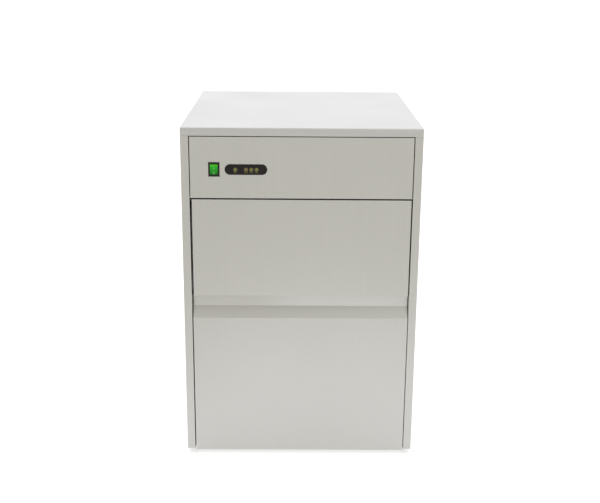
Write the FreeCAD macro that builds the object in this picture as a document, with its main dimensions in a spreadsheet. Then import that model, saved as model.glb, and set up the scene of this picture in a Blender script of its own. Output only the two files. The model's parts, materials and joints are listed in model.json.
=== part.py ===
import FreeCAD, Part
import math
import os
import re

import Sketcher

Vector = FreeCAD.Vector

# Driving dimensions, in millimetres, degrees or counts.
SIZES = {
    # Cabinet, without its feet
    "cabinet_width": 455,
    "cabinet_depth": 506,
    "cabinet_height": 660,
    "sheet": 1.0,
    "fit": 0.3,
    "lid_skirt": 16,
    "lid_radius": 2.0,
    "post_width": 15.5,
    "post_return": 22,
    "rear_flange": 18,
    "pan_height": 30,
    "side_lift": 2,
    "foot_height": 10,
    "foot_radius": 17,
    "foot_inset": 62,
    "foot_chamfer": 1,
    "foot_taper": 3,
    "fold_radius": 1.4,
    # Front: control panel, door and lower panel
    "panel_gap": 1.6,
    "lid_gap": 1.6,
    "control_height": 117.5,
    "control_flange": 20,
    "rail_height": 22,
    "door_gap": 2.6,
    "door_side_gap": 3.2,
    "door_shift": 0.8,
    "door_height": 192.5,
    "door_thickness": 30,
    "door_lip": 25,
    "hem_height": 9,
    "hem_thickness": 2.4,
    "pull_drop": 46.4,
    "pull_depth": 14,
    "pull_rise": 21.6,
    "pull_gap": 1.0,
    "lower_shift": 0.3,
    "toe_flange": 14,
    "pivot_setback": 7,
    "pivot_drop": 12,
    "pin_radius": 3,
    "pin_head_radius": 5,
    "pin_head": 3,
    "bush_radius": 4.6,
    "bush_length": 12,
    "bush_flange": 1.2,
    "bush_lip": 1.6,
    "running_gap": 0.05,
    "gasket_thickness": 4,
    "gasket_width": 10,
    "seal_margin": 1.0,
    "dish_inset": 9,
    "dish_depth": 7,
    "dish_radius": 3,
    # Ice bin and insulation
    "machine_height": 200,
    "bin_foam": 25,
    "liner": 2,
    "rear_duct": 104,
    "top_foam": 22,
    "deck": 1.2,
    "deck_flange": 22,
    "drain_radius": 9,
    "drain_wall": 2,
    "drain_tail": 12,
    "drain_inset": 75,
    "strainer_lid": 1.5,
    # Switch and indicator plate
    "switch_inset": 62.5,
    "control_drop": 63.5,
    "bezel_width": 21.2,
    "bezel_height": 27.4,
    "bezel_proud": 2,
    "bezel_frame": 3.0,
    "switch_depth": 21,
    "rocker_tilt": 9,
    "rocker_gap": 0.4,
    "plate_inset": 122.8,
    "plate_length": 80,
    "plate_height": 20,
    "plate_thickness": 1.2,
    "led_radius": 2.5,
    "led_pitch": 10,
    "led_proud": 1.2,
    "led_flange": 0.5,
    "led_flange_depth": 2,
    "board_setback": 12,
    "board_thickness": 1.6,
    "board_post_radius": 3,
    "board_post_inset": 5,
    "well_depth": 13,
    "blade_pitch": 7,
    "blade_length": 8,
    "blade_width": 4.8,
    "blade_metal": 0.8,
    "trunnion_radius": 1.2,
    "trunnion_lift": 0.3,
    "rocker_proud": 1.2,
    "rocker_heel": 4.5,
    "box_depth": 18,
    "box_width": 165,
    "box_height": 62,
    # Ice making unit
    "unit_clearance": 59.5,
    "unit_depth": 182,
    "unit_height": 76,
    "unit_drop": 2,
    "unit_sheet": 1.2,
    "finger_radius": 5,
    "finger_length": 40,
    "finger_margin": 21.5,
    "finger_count": 7,
    "finger_row_gap": 44,
    "plate_metal": 6,
    "plate_drop": 43,
    "shaft_drop": 8,
    "tray_side_gap": 10,
    "tray_motor_space": 35,
    "tray_width": 94,
    "tray_height": 50,
    "tray_wall": 2,
    "tray_setback": 68,
    "tray_rise": 4,
    "shaft_radius": 4,
    "paddle_radius": 7,
    "paddle_rod": 3,
    "paddle_motor_depth": 28,
    "paddle_motor_width": 40,
    "tray_bush_radius": 6,
    "tray_offset": 10,
    "row_setback": 36,
    "ear_thickness": 4,
    "ear_reach": 8,
    "shaft_grip": 9,
    "shaft_tail": 5,
    "gear_depth": 40,
    "gear_width": 50,
    "can_depth": 8,
    "plate_rim": 14,
    "hanger_radius": 4,
    "coil_radius": 4.75,
    "coil_margin": 12,
    "pipe_end": 30,
    "fill_radius": 4,
    "fill_bend": 12,
    "fill_drop": 22,
    "lever_case": 18,
    "lever_inset": 32,
    "lever_drop": 46,
    "lever_metal": 3,
    "lever_width": 14,
    "lever_length": 140,
    # Rear connections
    "fitting_reach": 18,
    "inlet_radius": 13.2,
    "outlet_radius": 9.5,
    "gland_bore": 4,
    "gland_wall": 4,
    "gland_lip": 3,
    "fitting_inset": 68,
    "outlet_height": 70,
    "inlet_height": 140,
    "gland_height": 205,
    "fitting_tail": 20,
    "collar": 4,
    "valve_setback": 16,
    "valve_depth": 38,
    # Air vents
    "vent_length": 92,
    "vent_height": 5,
    "vent_pitch": 13,
    "vent_rows": 11,
    "vent_base": 38,
    "vent_margin": 10,
    # Refrigeration
    "compressor_radius": 74,
    "compressor_height": 158,
    "compressor_inset": 108.5,
    "compressor_gap": 97,
    "seam_height": 72,
    "seam_lip": 3,
    "crown": 44,
    "stub_height": 98,
    "stub_length": 14,
    "stub_wall": 1,
    "mount_height": 12,
    "mount_overhang": 22,
    "mount_metal": 3,
    "mount_bolt": 4,
    "mount_radius": 11,
    "mount_margin": 2,
    "terminal_width": 52,
    "terminal_depth": 16,
    "terminal_height": 58,
    "terminal_low": 10,
    "condenser_width": 220,
    "condenser_height": 168,
    "condenser_depth": 22,
    "fan_radius": 74,
    "fan_inset": 131.5,
    "fan_depth": 26,
    "fan_blades": 5,
    "fan_metal": 1.6,
    "fan_root_chord": 26,
    "fan_tip_chord": 52,
    "fan_root_pitch": 48,
    "fan_tip_pitch": 24,
    "fan_rod": 3,
    "fan_motor_radius": 30,
    "fan_motor_length": 42,
    "hub_radius": 20,
    "blade_clearance": 4,
    "shroud_depth": 40,
    "shroud_wall": 1.5,
    "strap_reach": 16,
    "strap_depth": 26,
    "strap_height": 16,
    "strap_metal": 2,
    "condenser_setback": 8,
    "header_radius": 8,
    "flat_metal": 2,
    "flat_count": 8,
    "fin_metal": 0.8,
    "fin_count": 14,
    "pipe_radius": 4,
    "pipe_bend": 12,
    "capillary_radius": 2,
    "drier_inset": 30,
    "drier_height": 40,
    "duct_inset": 44,
    "drier_radius": 10,
    "drier_length": 100,
}

# Places worked out from the driving dimensions, written as expressions.
HALF = "(cabinet_width/2)"
FRONT = "(-(cabinet_depth + fitting_reach)/2)"
REAR = "((cabinet_depth - fitting_reach)/2)"
PAN = "foot_height"
SIDE = "(foot_height + side_lift)"
TOP = "(foot_height + side_lift + cabinet_height)"
RIM = f"({TOP} - lid_skirt)"
PANEL_TOP = f"({RIM} - lid_gap)"
PANEL_BOTTOM = f"({PANEL_TOP} - control_height)"
DOOR_TOP = f"({PANEL_BOTTOM} - door_gap)"
DOOR_BOTTOM = f"({DOOR_TOP} - door_height)"
CORE_BOTTOM = f"({DOOR_BOTTOM} + door_lip)"
PIVOT_Y = f"({FRONT} + pivot_setback)"
PIVOT_Z = f"({DOOR_TOP} - pivot_drop)"
LEDGE = f"({DOOR_BOTTOM} - pull_drop)"
POST = f"({HALF} - post_width)"
PANEL_HALF = f"({POST} - panel_gap)"
DOOR_HALF = f"({POST} - door_side_gap)"
DOOR_BACK = f"({FRONT} + door_thickness)"
FACE = f"({DOOR_BACK} + gasket_thickness)"
SEAL = f"({FACE} + liner)"
INNER = f"({HALF} - sheet)"
TUB_REAR = f"({REAR} - rear_duct)"
TUB_BOTTOM = f"({PAN} + machine_height)"
TUB_TOP = f"({TOP} - sheet - top_foam)"
SILL = f"({CORE_BOTTOM} + gasket_width + 2*seal_margin)"
CAVITY = f"({INNER} - bin_foam)"
UNIT_HALF = f"({CAVITY} - liner - unit_clearance)"
COMP_X = f"({INNER} - compressor_inset)"
FAN_X = f"(fan_inset - {INNER})"
FLOOR = f"({TUB_BOTTOM} + bin_foam)"
GASKET_TOP = f"({PIVOT_Z} - bush_radius)"
BULK_BOTTOM = f"({GASKET_TOP} - gasket_width - seal_margin)"
SWITCH_X = f"(-({HALF} - switch_inset))"
PLATE_X = f"(-({HALF} - plate_inset))"
CONTROL_Z = f"({RIM} - control_drop)"
UNIT_TOP = f"({TUB_TOP} - unit_drop)"
UNIT_REAR = f"({TUB_REAR} - bin_foam - liner)"
UNIT_FRONT = f"({UNIT_REAR} - unit_depth)"
SHAFT_Y = f"({UNIT_REAR} - tray_setback)"
PLATE_Z = f"({UNIT_TOP} - plate_drop)"
SHAFT_Z = f"({PLATE_Z} - plate_metal - shaft_drop)"
FITTING_X = f"({HALF} - fitting_inset)"
VALVE_TOP = "(inlet_radius + 2*collar)"
ROCKER_Y = f"({FRONT} - trunnion_lift)"
LED_PLACES = ("-2*led_pitch", "0", "led_pitch", "2*led_pitch")
DRAIN_X = FITTING_X
DRAIN_Y = f"({TUB_REAR} - drain_inset)"
ROW_REAR = f"({SHAFT_Y} - row_setback)"
ROW_FRONT = f"({ROW_REAR} - finger_row_gap)"
TRAY_LEFT = f"(tray_side_gap - {UNIT_HALF})"
TRAY_RIGHT = f"({UNIT_HALF} - tray_motor_space)"
FINGER_X = f"({TRAY_LEFT} + finger_margin)"
FINGER_PITCH = f"(({TRAY_RIGHT} - finger_margin - {FINGER_X})/(finger_count - 1))"
COIL_Z = f"({PLATE_Z} + coil_radius)"
COIL_OUT = f"({UNIT_HALF} - coil_margin)"
COIL_IN = f"({UNIT_HALF} - 4*coil_margin)"
COIL_LEFT = f"(coil_margin - {UNIT_HALF})"
PIPE_END = f"({TUB_REAR} + pipe_end)"
FILL_X = f"({UNIT_HALF}/2 - coil_margin)"
FILL_Y = f"(({ROW_REAR} + plate_rim + {SHAFT_Y} - tray_offset - tray_wall)/2)"
FILL_Z = f"({UNIT_TOP} - fill_drop)"
PADDLE_Y = f"({SHAFT_Y} - tray_offset - tray_width/2)"
PADDLE_Z = f"({SHAFT_Z} - tray_rise - tray_height + 2*tray_wall + paddle_radius)"
LEVER_Y = f"({UNIT_FRONT} + lever_inset)"
LEVER_Z = f"({UNIT_TOP} - lever_drop)"
COMP_Y = f"({DRAIN_Y} - compressor_gap)"
COMP_Z = f"({PAN} + sheet + mount_height)"
MOUNT_X = "(compressor_radius + mount_overhang - mount_radius - mount_margin)"
MOUNT_Y = "(compressor_radius*0.62 - mount_radius)"
QUADRANTS = ((-1, -1), (-1, 1), (1, -1), (1, 1))
COND_LEFT = f"({FAN_X} - condenser_width/2)"
COND_RIGHT = f"({FAN_X} + condenser_width/2)"
FIN_PITCH = "((condenser_width - 4*header_radius)/fin_count)"
FLAT_PITCH = "(condenser_height/flat_count)"
COND_Y = f"({REAR} - 3*sheet - condenser_setback - condenser_depth)"
HEADER_Y = f"({COND_Y} + condenser_depth/2)"
SHROUD_Y = f"({COND_Y} - shroud_depth)"
FAN_Y = f"({SHROUD_Y} - blade_clearance)"
FAN_Z = f"({PAN} + sheet + condenser_height/2)"
DRIER_X = f"({COND_RIGHT} + drier_inset)"
DRIER_Z = f"({PAN} + drier_height)"

doc = FreeCAD.newDocument("ice_maker")
sheet = doc.addObject("Spreadsheet::Sheet", "Sizes")
for row, (name, number) in enumerate(SIZES.items(), 1):
    sheet.set(f"A{row}", name)
    sheet.set(f"B{row}", str(number))
    sheet.setAlias(f"B{row}", name)
doc.recompute()

nodes = {}


def linked(text):
    """An expression with each size's name pointed at its cell in the sheet."""
    return re.sub(r"[a-z][a-z_]*", lambda word: "Sizes." + word[0] if word[0] in SIZES else word[0], text)


def value(text):
    """The number that an expression comes to with the sheet as it is."""
    return float(sheet.evalExpression(linked(text)))


def bind(item, **texts):
    """Ties properties of a document object to expressions; a double underscore stands for a dot."""
    for path, text in texts.items():
        item.setExpression(path.replace("__", "."), linked(text))


def place(item, x, y, z):
    bind(item, Placement__Base__x=x, Placement__Base__y=y, Placement__Base__z=z)


def keep(item, label):
    """Names an object as a finished sub-part."""
    item.Label = label
    nodes[label] = item
    return item


def body(name, x="0", y="0", z="0"):
    made = doc.addObject("PartDesign::Body", name)
    place(made, x, y, z)
    return made


def origin(owner, role):
    return next(item for item in owner.Origin.OriginFeatures if item.Role == role)


def sketch(owner, plane, at, shapes):
    """A sketch on an origin plane of a body, moved along that plane's axis to the place called at."""
    drawn = owner.newObject("Sketcher::SketchObject", "Sketch")
    drawn.AttachmentSupport = [(origin(owner, plane + "_Plane"), "")]
    drawn.MapMode = "FlatFace"
    bind(drawn, AttachmentOffset__Base__z=f"-({at})" if plane == "XZ" else at)
    for draw, *sizes in shapes:
        draw(drawn, *sizes)
    return drawn


def tie(drawn, geometry, point, x, y):
    """Holds a point of a sketch's geometry at two expressions."""
    for kind, text in (("DistanceX", x), ("DistanceY", y)):
        index = drawn.addConstraint(Sketcher.Constraint(kind, geometry, point, value(text)))
        bind(drawn, **{f"Constraints[{index}]": text})


def outline(drawn, *points):
    """A closed outline of straight edges."""
    corners = [Vector(value(x), value(y), 0) for x, y in points]
    first, count = drawn.GeometryCount, len(points)
    for i in range(count):
        drawn.addGeometry(Part.LineSegment(corners[i], corners[(i + 1) % count]), False)
    for i, (x, y) in enumerate(points):
        drawn.addConstraint(Sketcher.Constraint("Coincident", first + i, 2, first + (i + 1) % count, 1))
        tie(drawn, first + i, 1, x, y)


def rectangle(drawn, low_x, low_y, high_x, high_y):
    outline(drawn, (low_x, low_y), (high_x, low_y), (high_x, high_y), (low_x, high_y))


def circle(drawn, x, y, radius):
    shape = Part.Circle(Vector(value(x), value(y), 0), Vector(0, 0, 1), value(radius))
    index = drawn.addGeometry(shape, False)
    tie(drawn, index, 3, x, y)
    number = drawn.addConstraint(Sketcher.Constraint("Radius", index, value(radius)))
    bind(drawn, **{f"Constraints[{number}]": radius})


def extrude(owner, plane, at, length, *shapes, both=False):
    """A pad from the plane towards the positive axis, or half each way."""
    made = owner.newObject("PartDesign::Pad", "Pad")
    made.Profile = sketch(owner, plane, at, shapes)
    made.Midplane = both
    made.Reversed = plane == "XZ" and not both
    bind(made, Length=length)
    doc.recompute()
    return made


def cut(owner, plane, at, length, *shapes):
    """A pocket that reaches half its length each way from the plane."""
    made = owner.newObject("PartDesign::Pocket", "Pocket")
    made.Profile = sketch(owner, plane, at, shapes)
    made.Midplane = True
    bind(made, Length=length)
    doc.recompute()
    return made


def turn(owner, plane, axis, *points):
    """A revolution of an outline about the sketch's own H_Axis or V_Axis."""
    made = owner.newObject("PartDesign::Revolution", "Revolution")
    drawn = sketch(owner, plane, "0", [(outline, *points)])
    made.Profile = drawn
    made.ReferenceAxis = (drawn, [axis])
    made.Angle = 360
    doc.recompute()
    return made


def shell(owner, wall, pick):
    """Hollows the body to a wall inside its faces, leaving out the picked faces."""
    base = owner.Tip
    made = owner.newObject("PartDesign::Thickness", "Thickness")
    made.Base = (base, [f"Face{i}" for i, face in enumerate(base.Shape.Faces, 1) if pick(face)])
    made.Reversed = True
    bind(made, Value=wall)
    doc.recompute()
    return made


def round_edges(owner, radius, pick):
    base = owner.Tip
    made = owner.newObject("PartDesign::Fillet", "Fillet")
    made.Base = (base, [f"Edge{i}" for i, edge in enumerate(base.Shape.Edges, 1) if pick(edge)])
    bind(made, Radius=radius)
    doc.recompute()
    return made


def repeat(owner, feature, axis, step, count):
    """Copies a feature along an axis of the body."""
    made = owner.newObject("PartDesign::LinearPattern", "LinearPattern")
    made.Originals = [feature]
    made.Direction = (origin(owner, axis + "_Axis"), [""])
    bind(made, Length=f"({step})*({count} - 1)", Occurrences=count)
    owner.Tip = made
    doc.recompute()
    return made


def box(name, x, y, z, length, width, height):
    made = doc.addObject("Part::Box", name)
    bind(made, Length=length, Width=width, Height=height)
    place(made, x, y, z)
    return made


TURNS = {
    "X": FreeCAD.Rotation(Vector(0, 1, 0), 90),
    "Y": FreeCAD.Rotation(Vector(1, 0, 0), -90),
    "Z": FreeCAD.Rotation(),
}


def cylinder(name, axis, x, y, z, radius, height):
    """A cylinder that starts at a point and runs along the positive axis."""
    made = doc.addObject("Part::Cylinder", name)
    made.Placement = FreeCAD.Placement(Vector(), TURNS[axis])
    bind(made, Radius=radius, Height=height)
    place(made, x, y, z)
    return made


def fuse(name, *items):
    made = doc.addObject("Part::MultiFuse", name)
    made.Shapes = list(items)
    return made


def less(name, base, *tools):
    made = doc.addObject("Part::Cut", name)
    made.Base = base
    made.Tool = tools[0] if len(tools) == 1 else fuse(name + "_tools", *tools)
    return made


def group(name, items):
    made = doc.addObject("Part::Compound", name)
    made.Links = list(items)
    return made


def tube(name, radius, bend, *points):
    """A round bar along straight runs that are joined by tangent arcs of one bend radius."""
    corners = [Vector(*(value(text) for text in point)) for point in points]
    reach = value(bend)
    edges, start = [], corners[0]
    for before, corner, after in zip(corners, corners[1:], corners[2:]):
        back = (before - corner).normalize()
        ahead = (after - corner).normalize()
        half_turn = (math.pi - back.getAngle(ahead)) / 2
        setback = reach * math.tan(half_turn)
        begin, end = corner + back * setback, corner + ahead * setback
        middle = corner + (back + ahead).normalize() * (reach / math.cos(half_turn) - reach)
        edges += [Part.LineSegment(start, begin).toShape(), Part.Arc(begin, middle, end).toShape()]
        start = end
    edges.append(Part.LineSegment(start, corners[-1]).toShape())
    path = Part.Wire(edges)
    ring = Part.Wire([Part.Circle(corners[0], corners[1] - corners[0], value(radius)).toShape()])
    made = doc.addObject("Part::Feature", name)
    made.Shape = path.makePipeShell([ring], True, False)
    section = math.pi * value(radius) ** 2
    print(f"{name}: volume over section times length {made.Shape.Volume / section / path.Length:.4f}")
    return made


def is_flat_at(letter, height):
    """Picks faces that lie on a plane across one axis."""
    return lambda face: (
        abs(getattr(face.BoundBox, letter + "Max") - height) < 1e-4
        and abs(getattr(face.BoundBox, letter + "Min") - height) < 1e-4
    )


# Cabinet

def make_feet():
    feet = []
    for x in (f"foot_inset - {HALF}", f"{HALF} - foot_inset"):
        for y in (f"{FRONT} + foot_inset", f"{REAR} - foot_inset"):
            foot = body("foot", x, y, "0")
            turn(foot, "XZ", "V_Axis", ("0", "0"), ("foot_radius - foot_chamfer", "0"),
                 ("foot_radius", "foot_chamfer"), ("foot_radius - foot_taper", "foot_height"),
                 ("0", "foot_height"))
            feet.append(foot)
    keep(group("feet", feet), "feet")


def make_base_pan():
    pan = body("base_pan")
    extrude(pan, "XY", PAN, "pan_height",
            (rectangle, f"-{INNER}", f"{FRONT} + post_return", INNER, f"{REAR} - 2*sheet"))
    round_edges(pan, "fold_radius", lambda edge: edge.BoundBox.ZLength > 1)
    shell(pan, "sheet", is_flat_at("Z", value(f"{PAN} + pan_height")))
    keep(pan, "base_pan")


def make_side_panel(label, sign):
    """A folded side: wall, front post with its return, and rear flange."""
    panel = body(label)
    across = [("0", "0"), ("post_width", "0"), ("post_width", "post_return"),
              ("post_width - sheet", "post_return"), ("post_width - sheet", "sheet"),
              ("sheet", "sheet"), ("sheet", "cabinet_depth - sheet"),
              ("rear_flange", "cabinet_depth - sheet"), ("rear_flange", "cabinet_depth"),
              ("0", "cabinet_depth")]
    points = [(f"{sign}*({HALF} - ({x}))", f"{FRONT} + {y}") for x, y in across]
    extrude(panel, "XY", SIDE, "cabinet_height - lid_skirt - fit", (outline, *points))
    outer_x, front_y = sign * value(HALF), value(FRONT)
    post_x = sign * value(POST)
    round_edges(panel, "fold_radius/2", lambda edge: edge.BoundBox.ZLength > 1
                and min(abs(edge.BoundBox.XMin - outer_x), abs(edge.BoundBox.XMin - post_x)) < 1e-4
                and abs(edge.BoundBox.YMin - front_y) < 1e-4)
    cut(panel, "YZ", f"{sign}*({POST} + sheet/2)", "3*sheet",
        (circle, PIVOT_Y, PIVOT_Z, "pin_radius + running_gap"))
    slot = cut(panel, "YZ", f"{sign}*{HALF}", "4*sheet",
               (rectangle, f"{REAR} - 2*vent_length", "vent_base", f"{REAR} - vent_length",
                "vent_base + vent_height"))
    repeat(panel, slot, "Z", "vent_pitch", "vent_rows")
    keep(panel, label)


def make_rear_panel():
    panel = body("rear_panel")
    half = f"({INNER} - lid_radius/2)"
    extrude(panel, "XZ", f"{REAR} - 2*sheet", "sheet",
            (rectangle, f"-{half}", PAN, half, f"{TOP} - 4*sheet"),
            (circle, FITTING_X, "inlet_height", "inlet_radius + fit"),
            (circle, FITTING_X, "outlet_height", "outlet_radius + fit"),
            (circle, FITTING_X, "gland_height", "gland_bore + gland_wall + fit"))
    for start in (f"-{INNER} + 2*rear_flange - vent_margin", f"-{INNER} + 2*rear_flange + vent_length"):
        slot = cut(panel, "XZ", REAR, "6*sheet",
                   (rectangle, start, "vent_base + pan_height/3", f"{start} + vent_length",
                    "vent_base + pan_height/3 + vent_height"))
        repeat(panel, slot, "Z", "vent_pitch", "vent_rows")
    keep(panel, "rear_panel")


def make_top_cover():
    cover = body("top_cover")
    extrude(cover, "XY", RIM, "lid_skirt", (rectangle, f"-{HALF}", FRONT, HALF, REAR))
    rim = value(RIM)
    round_edges(cover, "lid_radius", lambda edge: edge.BoundBox.ZMax > rim + 1)
    shell(cover, "sheet", is_flat_at("Z", rim))
    keep(cover, "top_cover")


def make_deck():
    deck = body("deck_plate")
    extrude(deck, "XZ", SEAL, f"{TUB_REAR} - {SEAL}",
            (outline, (f"-{INNER}", f"{TUB_BOTTOM} - deck_flange"),
             (f"-{INNER} + deck", f"{TUB_BOTTOM} - deck_flange"),
             (f"-{INNER} + deck", f"{TUB_BOTTOM} - deck"), (f"{INNER} - deck", f"{TUB_BOTTOM} - deck"),
             (f"{INNER} - deck", f"{TUB_BOTTOM} - deck_flange"),
             (INNER, f"{TUB_BOTTOM} - deck_flange"), (INNER, TUB_BOTTOM), (f"-{INNER}", TUB_BOTTOM)))
    cut(deck, "XY", TUB_BOTTOM, "6*deck", (circle, DRAIN_X, DRAIN_Y, "drain_radius + fit"))
    keep(deck, "deck_plate")


def make_cross_rail():
    """The angle that joins the posts and carries the control panel's lower flange."""
    rail = body("front_cross_rail")
    low = f"({PANEL_BOTTOM} + sheet)"
    extrude(rail, "YZ", "0", f"2*{POST}",
            (outline, (f"{FRONT} + 2*sheet", low), (FACE, low), (FACE, f"{low} + rail_height"),
             (f"{FACE} - sheet", f"{low} + rail_height"), (f"{FACE} - sheet", f"{low} + sheet"),
             (f"{FRONT} + 2*sheet", f"{low} + sheet")), both=True)
    keep(rail, "front_cross_rail")


# Front panels and door

def make_control_panel():
    panel = body("control_panel")
    extrude(panel, "YZ", "0", f"2*{PANEL_HALF}",
            (outline, (FRONT, PANEL_BOTTOM), (f"{FRONT} + control_flange", PANEL_BOTTOM),
             (f"{FRONT} + control_flange", f"{PANEL_BOTTOM} + sheet"),
             (f"{FRONT} + sheet", f"{PANEL_BOTTOM} + sheet"),
             (f"{FRONT} + sheet", f"{PANEL_TOP} - sheet"),
             (f"{FRONT} + control_flange", f"{PANEL_TOP} - sheet"),
             (f"{FRONT} + control_flange", PANEL_TOP), (FRONT, PANEL_TOP)), both=True)
    front = value(FRONT)
    round_edges(panel, "fold_radius/2", lambda edge: edge.BoundBox.XLength > 1
                and abs(edge.BoundBox.YMin - front) < 1e-4)
    for sign in (-1, 1):
        post_x = f"{PLATE_X} + {sign}*(plate_length/2 - board_post_inset)"
        extrude(panel, "XZ", f"{FRONT} + sheet/2", "board_setback - sheet/2",
                (circle, post_x, CONTROL_Z, "board_post_radius"))
    half_x, half_z = "(bezel_width/2 - bezel_frame/2 + fit)", "(bezel_height/2 - bezel_frame/2 + fit)"
    cut(panel, "XZ", FRONT, "4*sheet",
        (rectangle, f"{SWITCH_X} - {half_x}", f"{CONTROL_Z} - {half_z}",
         f"{SWITCH_X} + {half_x}", f"{CONTROL_Z} + {half_z}"),
        *((circle, f"{PLATE_X} + ({x})", CONTROL_Z, "led_radius + fit") for x in LED_PLACES))
    keep(panel, "control_panel")


def make_lower_panel():
    """Toe flange, front, sloping finger-pull trough, its back wall and the flange over the bin wall."""
    panel = body("lower_front_panel", "lower_shift")
    back, sill = f"({FRONT} + pull_depth)", f"({DOOR_BOTTOM} - pull_gap)"
    slope = "(sheet*(pull_rise/pull_depth - sqrt(1 + (pull_rise/pull_depth)^2)))"
    toe = f"({FRONT} + post_return + toe_flange)"
    extrude(panel, "YZ", "0", f"2*{PANEL_HALF}",
            (outline, (toe, f"{PAN} - sheet"), (FRONT, f"{PAN} - sheet"), (FRONT, LEDGE),
             (back, f"{LEDGE} + pull_rise"), (back, sill), (FACE, sill), (FACE, f"{sill} - sheet"),
             (f"{back} + sheet", f"{sill} - sheet"),
             (f"{back} + sheet", f"{LEDGE} + pull_rise + {slope}"),
             (f"{FRONT} + sheet", f"{LEDGE} + {slope}"), (f"{FRONT} + sheet", PAN), (toe, PAN)),
            both=True)
    front, back_y = value(FRONT), value(back)
    round_edges(panel, "fold_radius", lambda edge: edge.BoundBox.XLength > 1
                and min(abs(edge.BoundBox.YMin - front), abs(edge.BoundBox.YMin - back_y)) < 1e-4)
    keep(panel, "lower_front_panel")


def make_door():
    skin = body("door_skin", "door_shift")
    extrude(skin, "YZ", "0", f"2*{DOOR_HALF}",
            (outline, (FRONT, DOOR_BOTTOM), (f"{FRONT} + hem_thickness", DOOR_BOTTOM),
             (f"{FRONT} + hem_thickness", f"{DOOR_BOTTOM} + hem_height"),
             (f"{FRONT} + sheet", f"{DOOR_BOTTOM} + hem_height"), (f"{FRONT} + sheet", CORE_BOTTOM),
             (DOOR_BACK, CORE_BOTTOM), (DOOR_BACK, f"{CORE_BOTTOM} + sheet"),
             (f"{FRONT} + sheet", f"{CORE_BOTTOM} + sheet"), (f"{FRONT} + sheet", f"{DOOR_TOP} - sheet"),
             (DOOR_BACK, f"{DOOR_TOP} - sheet"), (DOOR_BACK, DOOR_TOP), (FRONT, DOOR_TOP)), both=True)
    for start in (f"-{DOOR_HALF}", f"{DOOR_HALF} - sheet"):
        extrude(skin, "YZ", start, "sheet", (rectangle, FRONT, CORE_BOTTOM, DOOR_BACK, DOOR_TOP))
    front = value(FRONT)
    round_edges(skin, "fold_radius/2", lambda edge: edge.BoundBox.XLength > 2*value("sheet")
                and abs(edge.BoundBox.YMin - front) < 1e-4)
    bush_hole = (circle, PIVOT_Y, PIVOT_Z, "bush_radius + running_gap")
    for sign in (-1, 1):
        cut(skin, "YZ", f"{sign}*{DOOR_HALF}", "4*sheet", bush_hole)
    keep(skin, "door_skin")

    core = body("door_insulation", "door_shift")
    low, high = f"{CORE_BOTTOM} + sheet", f"{DOOR_TOP} - sheet"
    inside = f"2*({DOOR_HALF} - sheet)"
    extrude(core, "YZ", "0", inside,
            (rectangle, f"{FRONT} + sheet", low, f"{DOOR_BACK} - liner", high), both=True)
    for sign in (-1, 1):
        cut(core, "YZ", f"{sign}*{DOOR_HALF}", "2*bush_length + 2*fit", bush_hole)
    keep(core, "door_insulation")

    lining = body("door_liner", "door_shift")
    extrude(lining, "YZ", "0", inside, (rectangle, f"{DOOR_BACK} - liner", low, DOOR_BACK, high), both=True)
    dish_x = f"({DOOR_HALF} - seal_margin - gasket_width - dish_inset)"
    extrude(lining, "XZ", DOOR_BACK, "dish_depth",
            (rectangle, f"-{dish_x}", f"{CORE_BOTTOM} + seal_margin + gasket_width + dish_inset",
             dish_x, f"{GASKET_TOP} - gasket_width - dish_inset"))
    dish_y = value(f"{DOOR_BACK} + dish_depth")
    round_edges(lining, "dish_radius", lambda edge: edge.BoundBox.YMax > dish_y - 1e-4)
    keep(lining, "door_liner")

    gasket = body("door_gasket", "door_shift")
    outer = f"({DOOR_HALF} - seal_margin)"
    bottom = f"({CORE_BOTTOM} + seal_margin)"
    extrude(gasket, "XZ", DOOR_BACK, "gasket_thickness - fit",
            (rectangle, f"-{outer}", bottom, outer, GASKET_TOP),
            (rectangle, f"-{outer} + gasket_width", f"{bottom} + gasket_width",
             f"{outer} - gasket_width", f"{GASKET_TOP} - gasket_width"))
    keep(gasket, "door_gasket")


def make_door_pivots():
    pins, bushes = [], []
    for sign in (-1, 1):
        pin = body("pivot_pin", "0", PIVOT_Y, PIVOT_Z)
        head, tip = f"{sign}*({POST} + sheet)", f"{sign}*({DOOR_HALF} - bush_length + fit) + door_shift"
        end = f"{sign}*({POST} + sheet + pin_head)"
        turn(pin, "XZ", "H_Axis", (tip, "0"), (tip, "pin_radius"), (head, "pin_radius"),
             (head, "pin_head_radius"), (end, "pin_head_radius"), (end, "0"))
        pins.append(pin)
        bush = body("pivot_bush", "door_shift", PIVOT_Y, PIVOT_Z)
        inner, face = f"{sign}*({DOOR_HALF} - bush_length)", f"{sign}*{DOOR_HALF}"
        flange = f"{sign}*({DOOR_HALF} + bush_flange)"
        turn(bush, "XZ", "H_Axis", (inner, "pin_radius + running_gap"), (inner, "bush_radius"),
             (face, "bush_radius"), (face, "bush_radius + bush_lip"), (flange, "bush_radius + bush_lip"),
             (flange, "pin_radius + running_gap"))
        bushes.append(bush)
    keep(group("door_pivot_pins", pins), "door_pivot_pins")
    keep(group("door_pivot_bushes", bushes), "door_pivot_bushes")


# Controls

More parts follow.
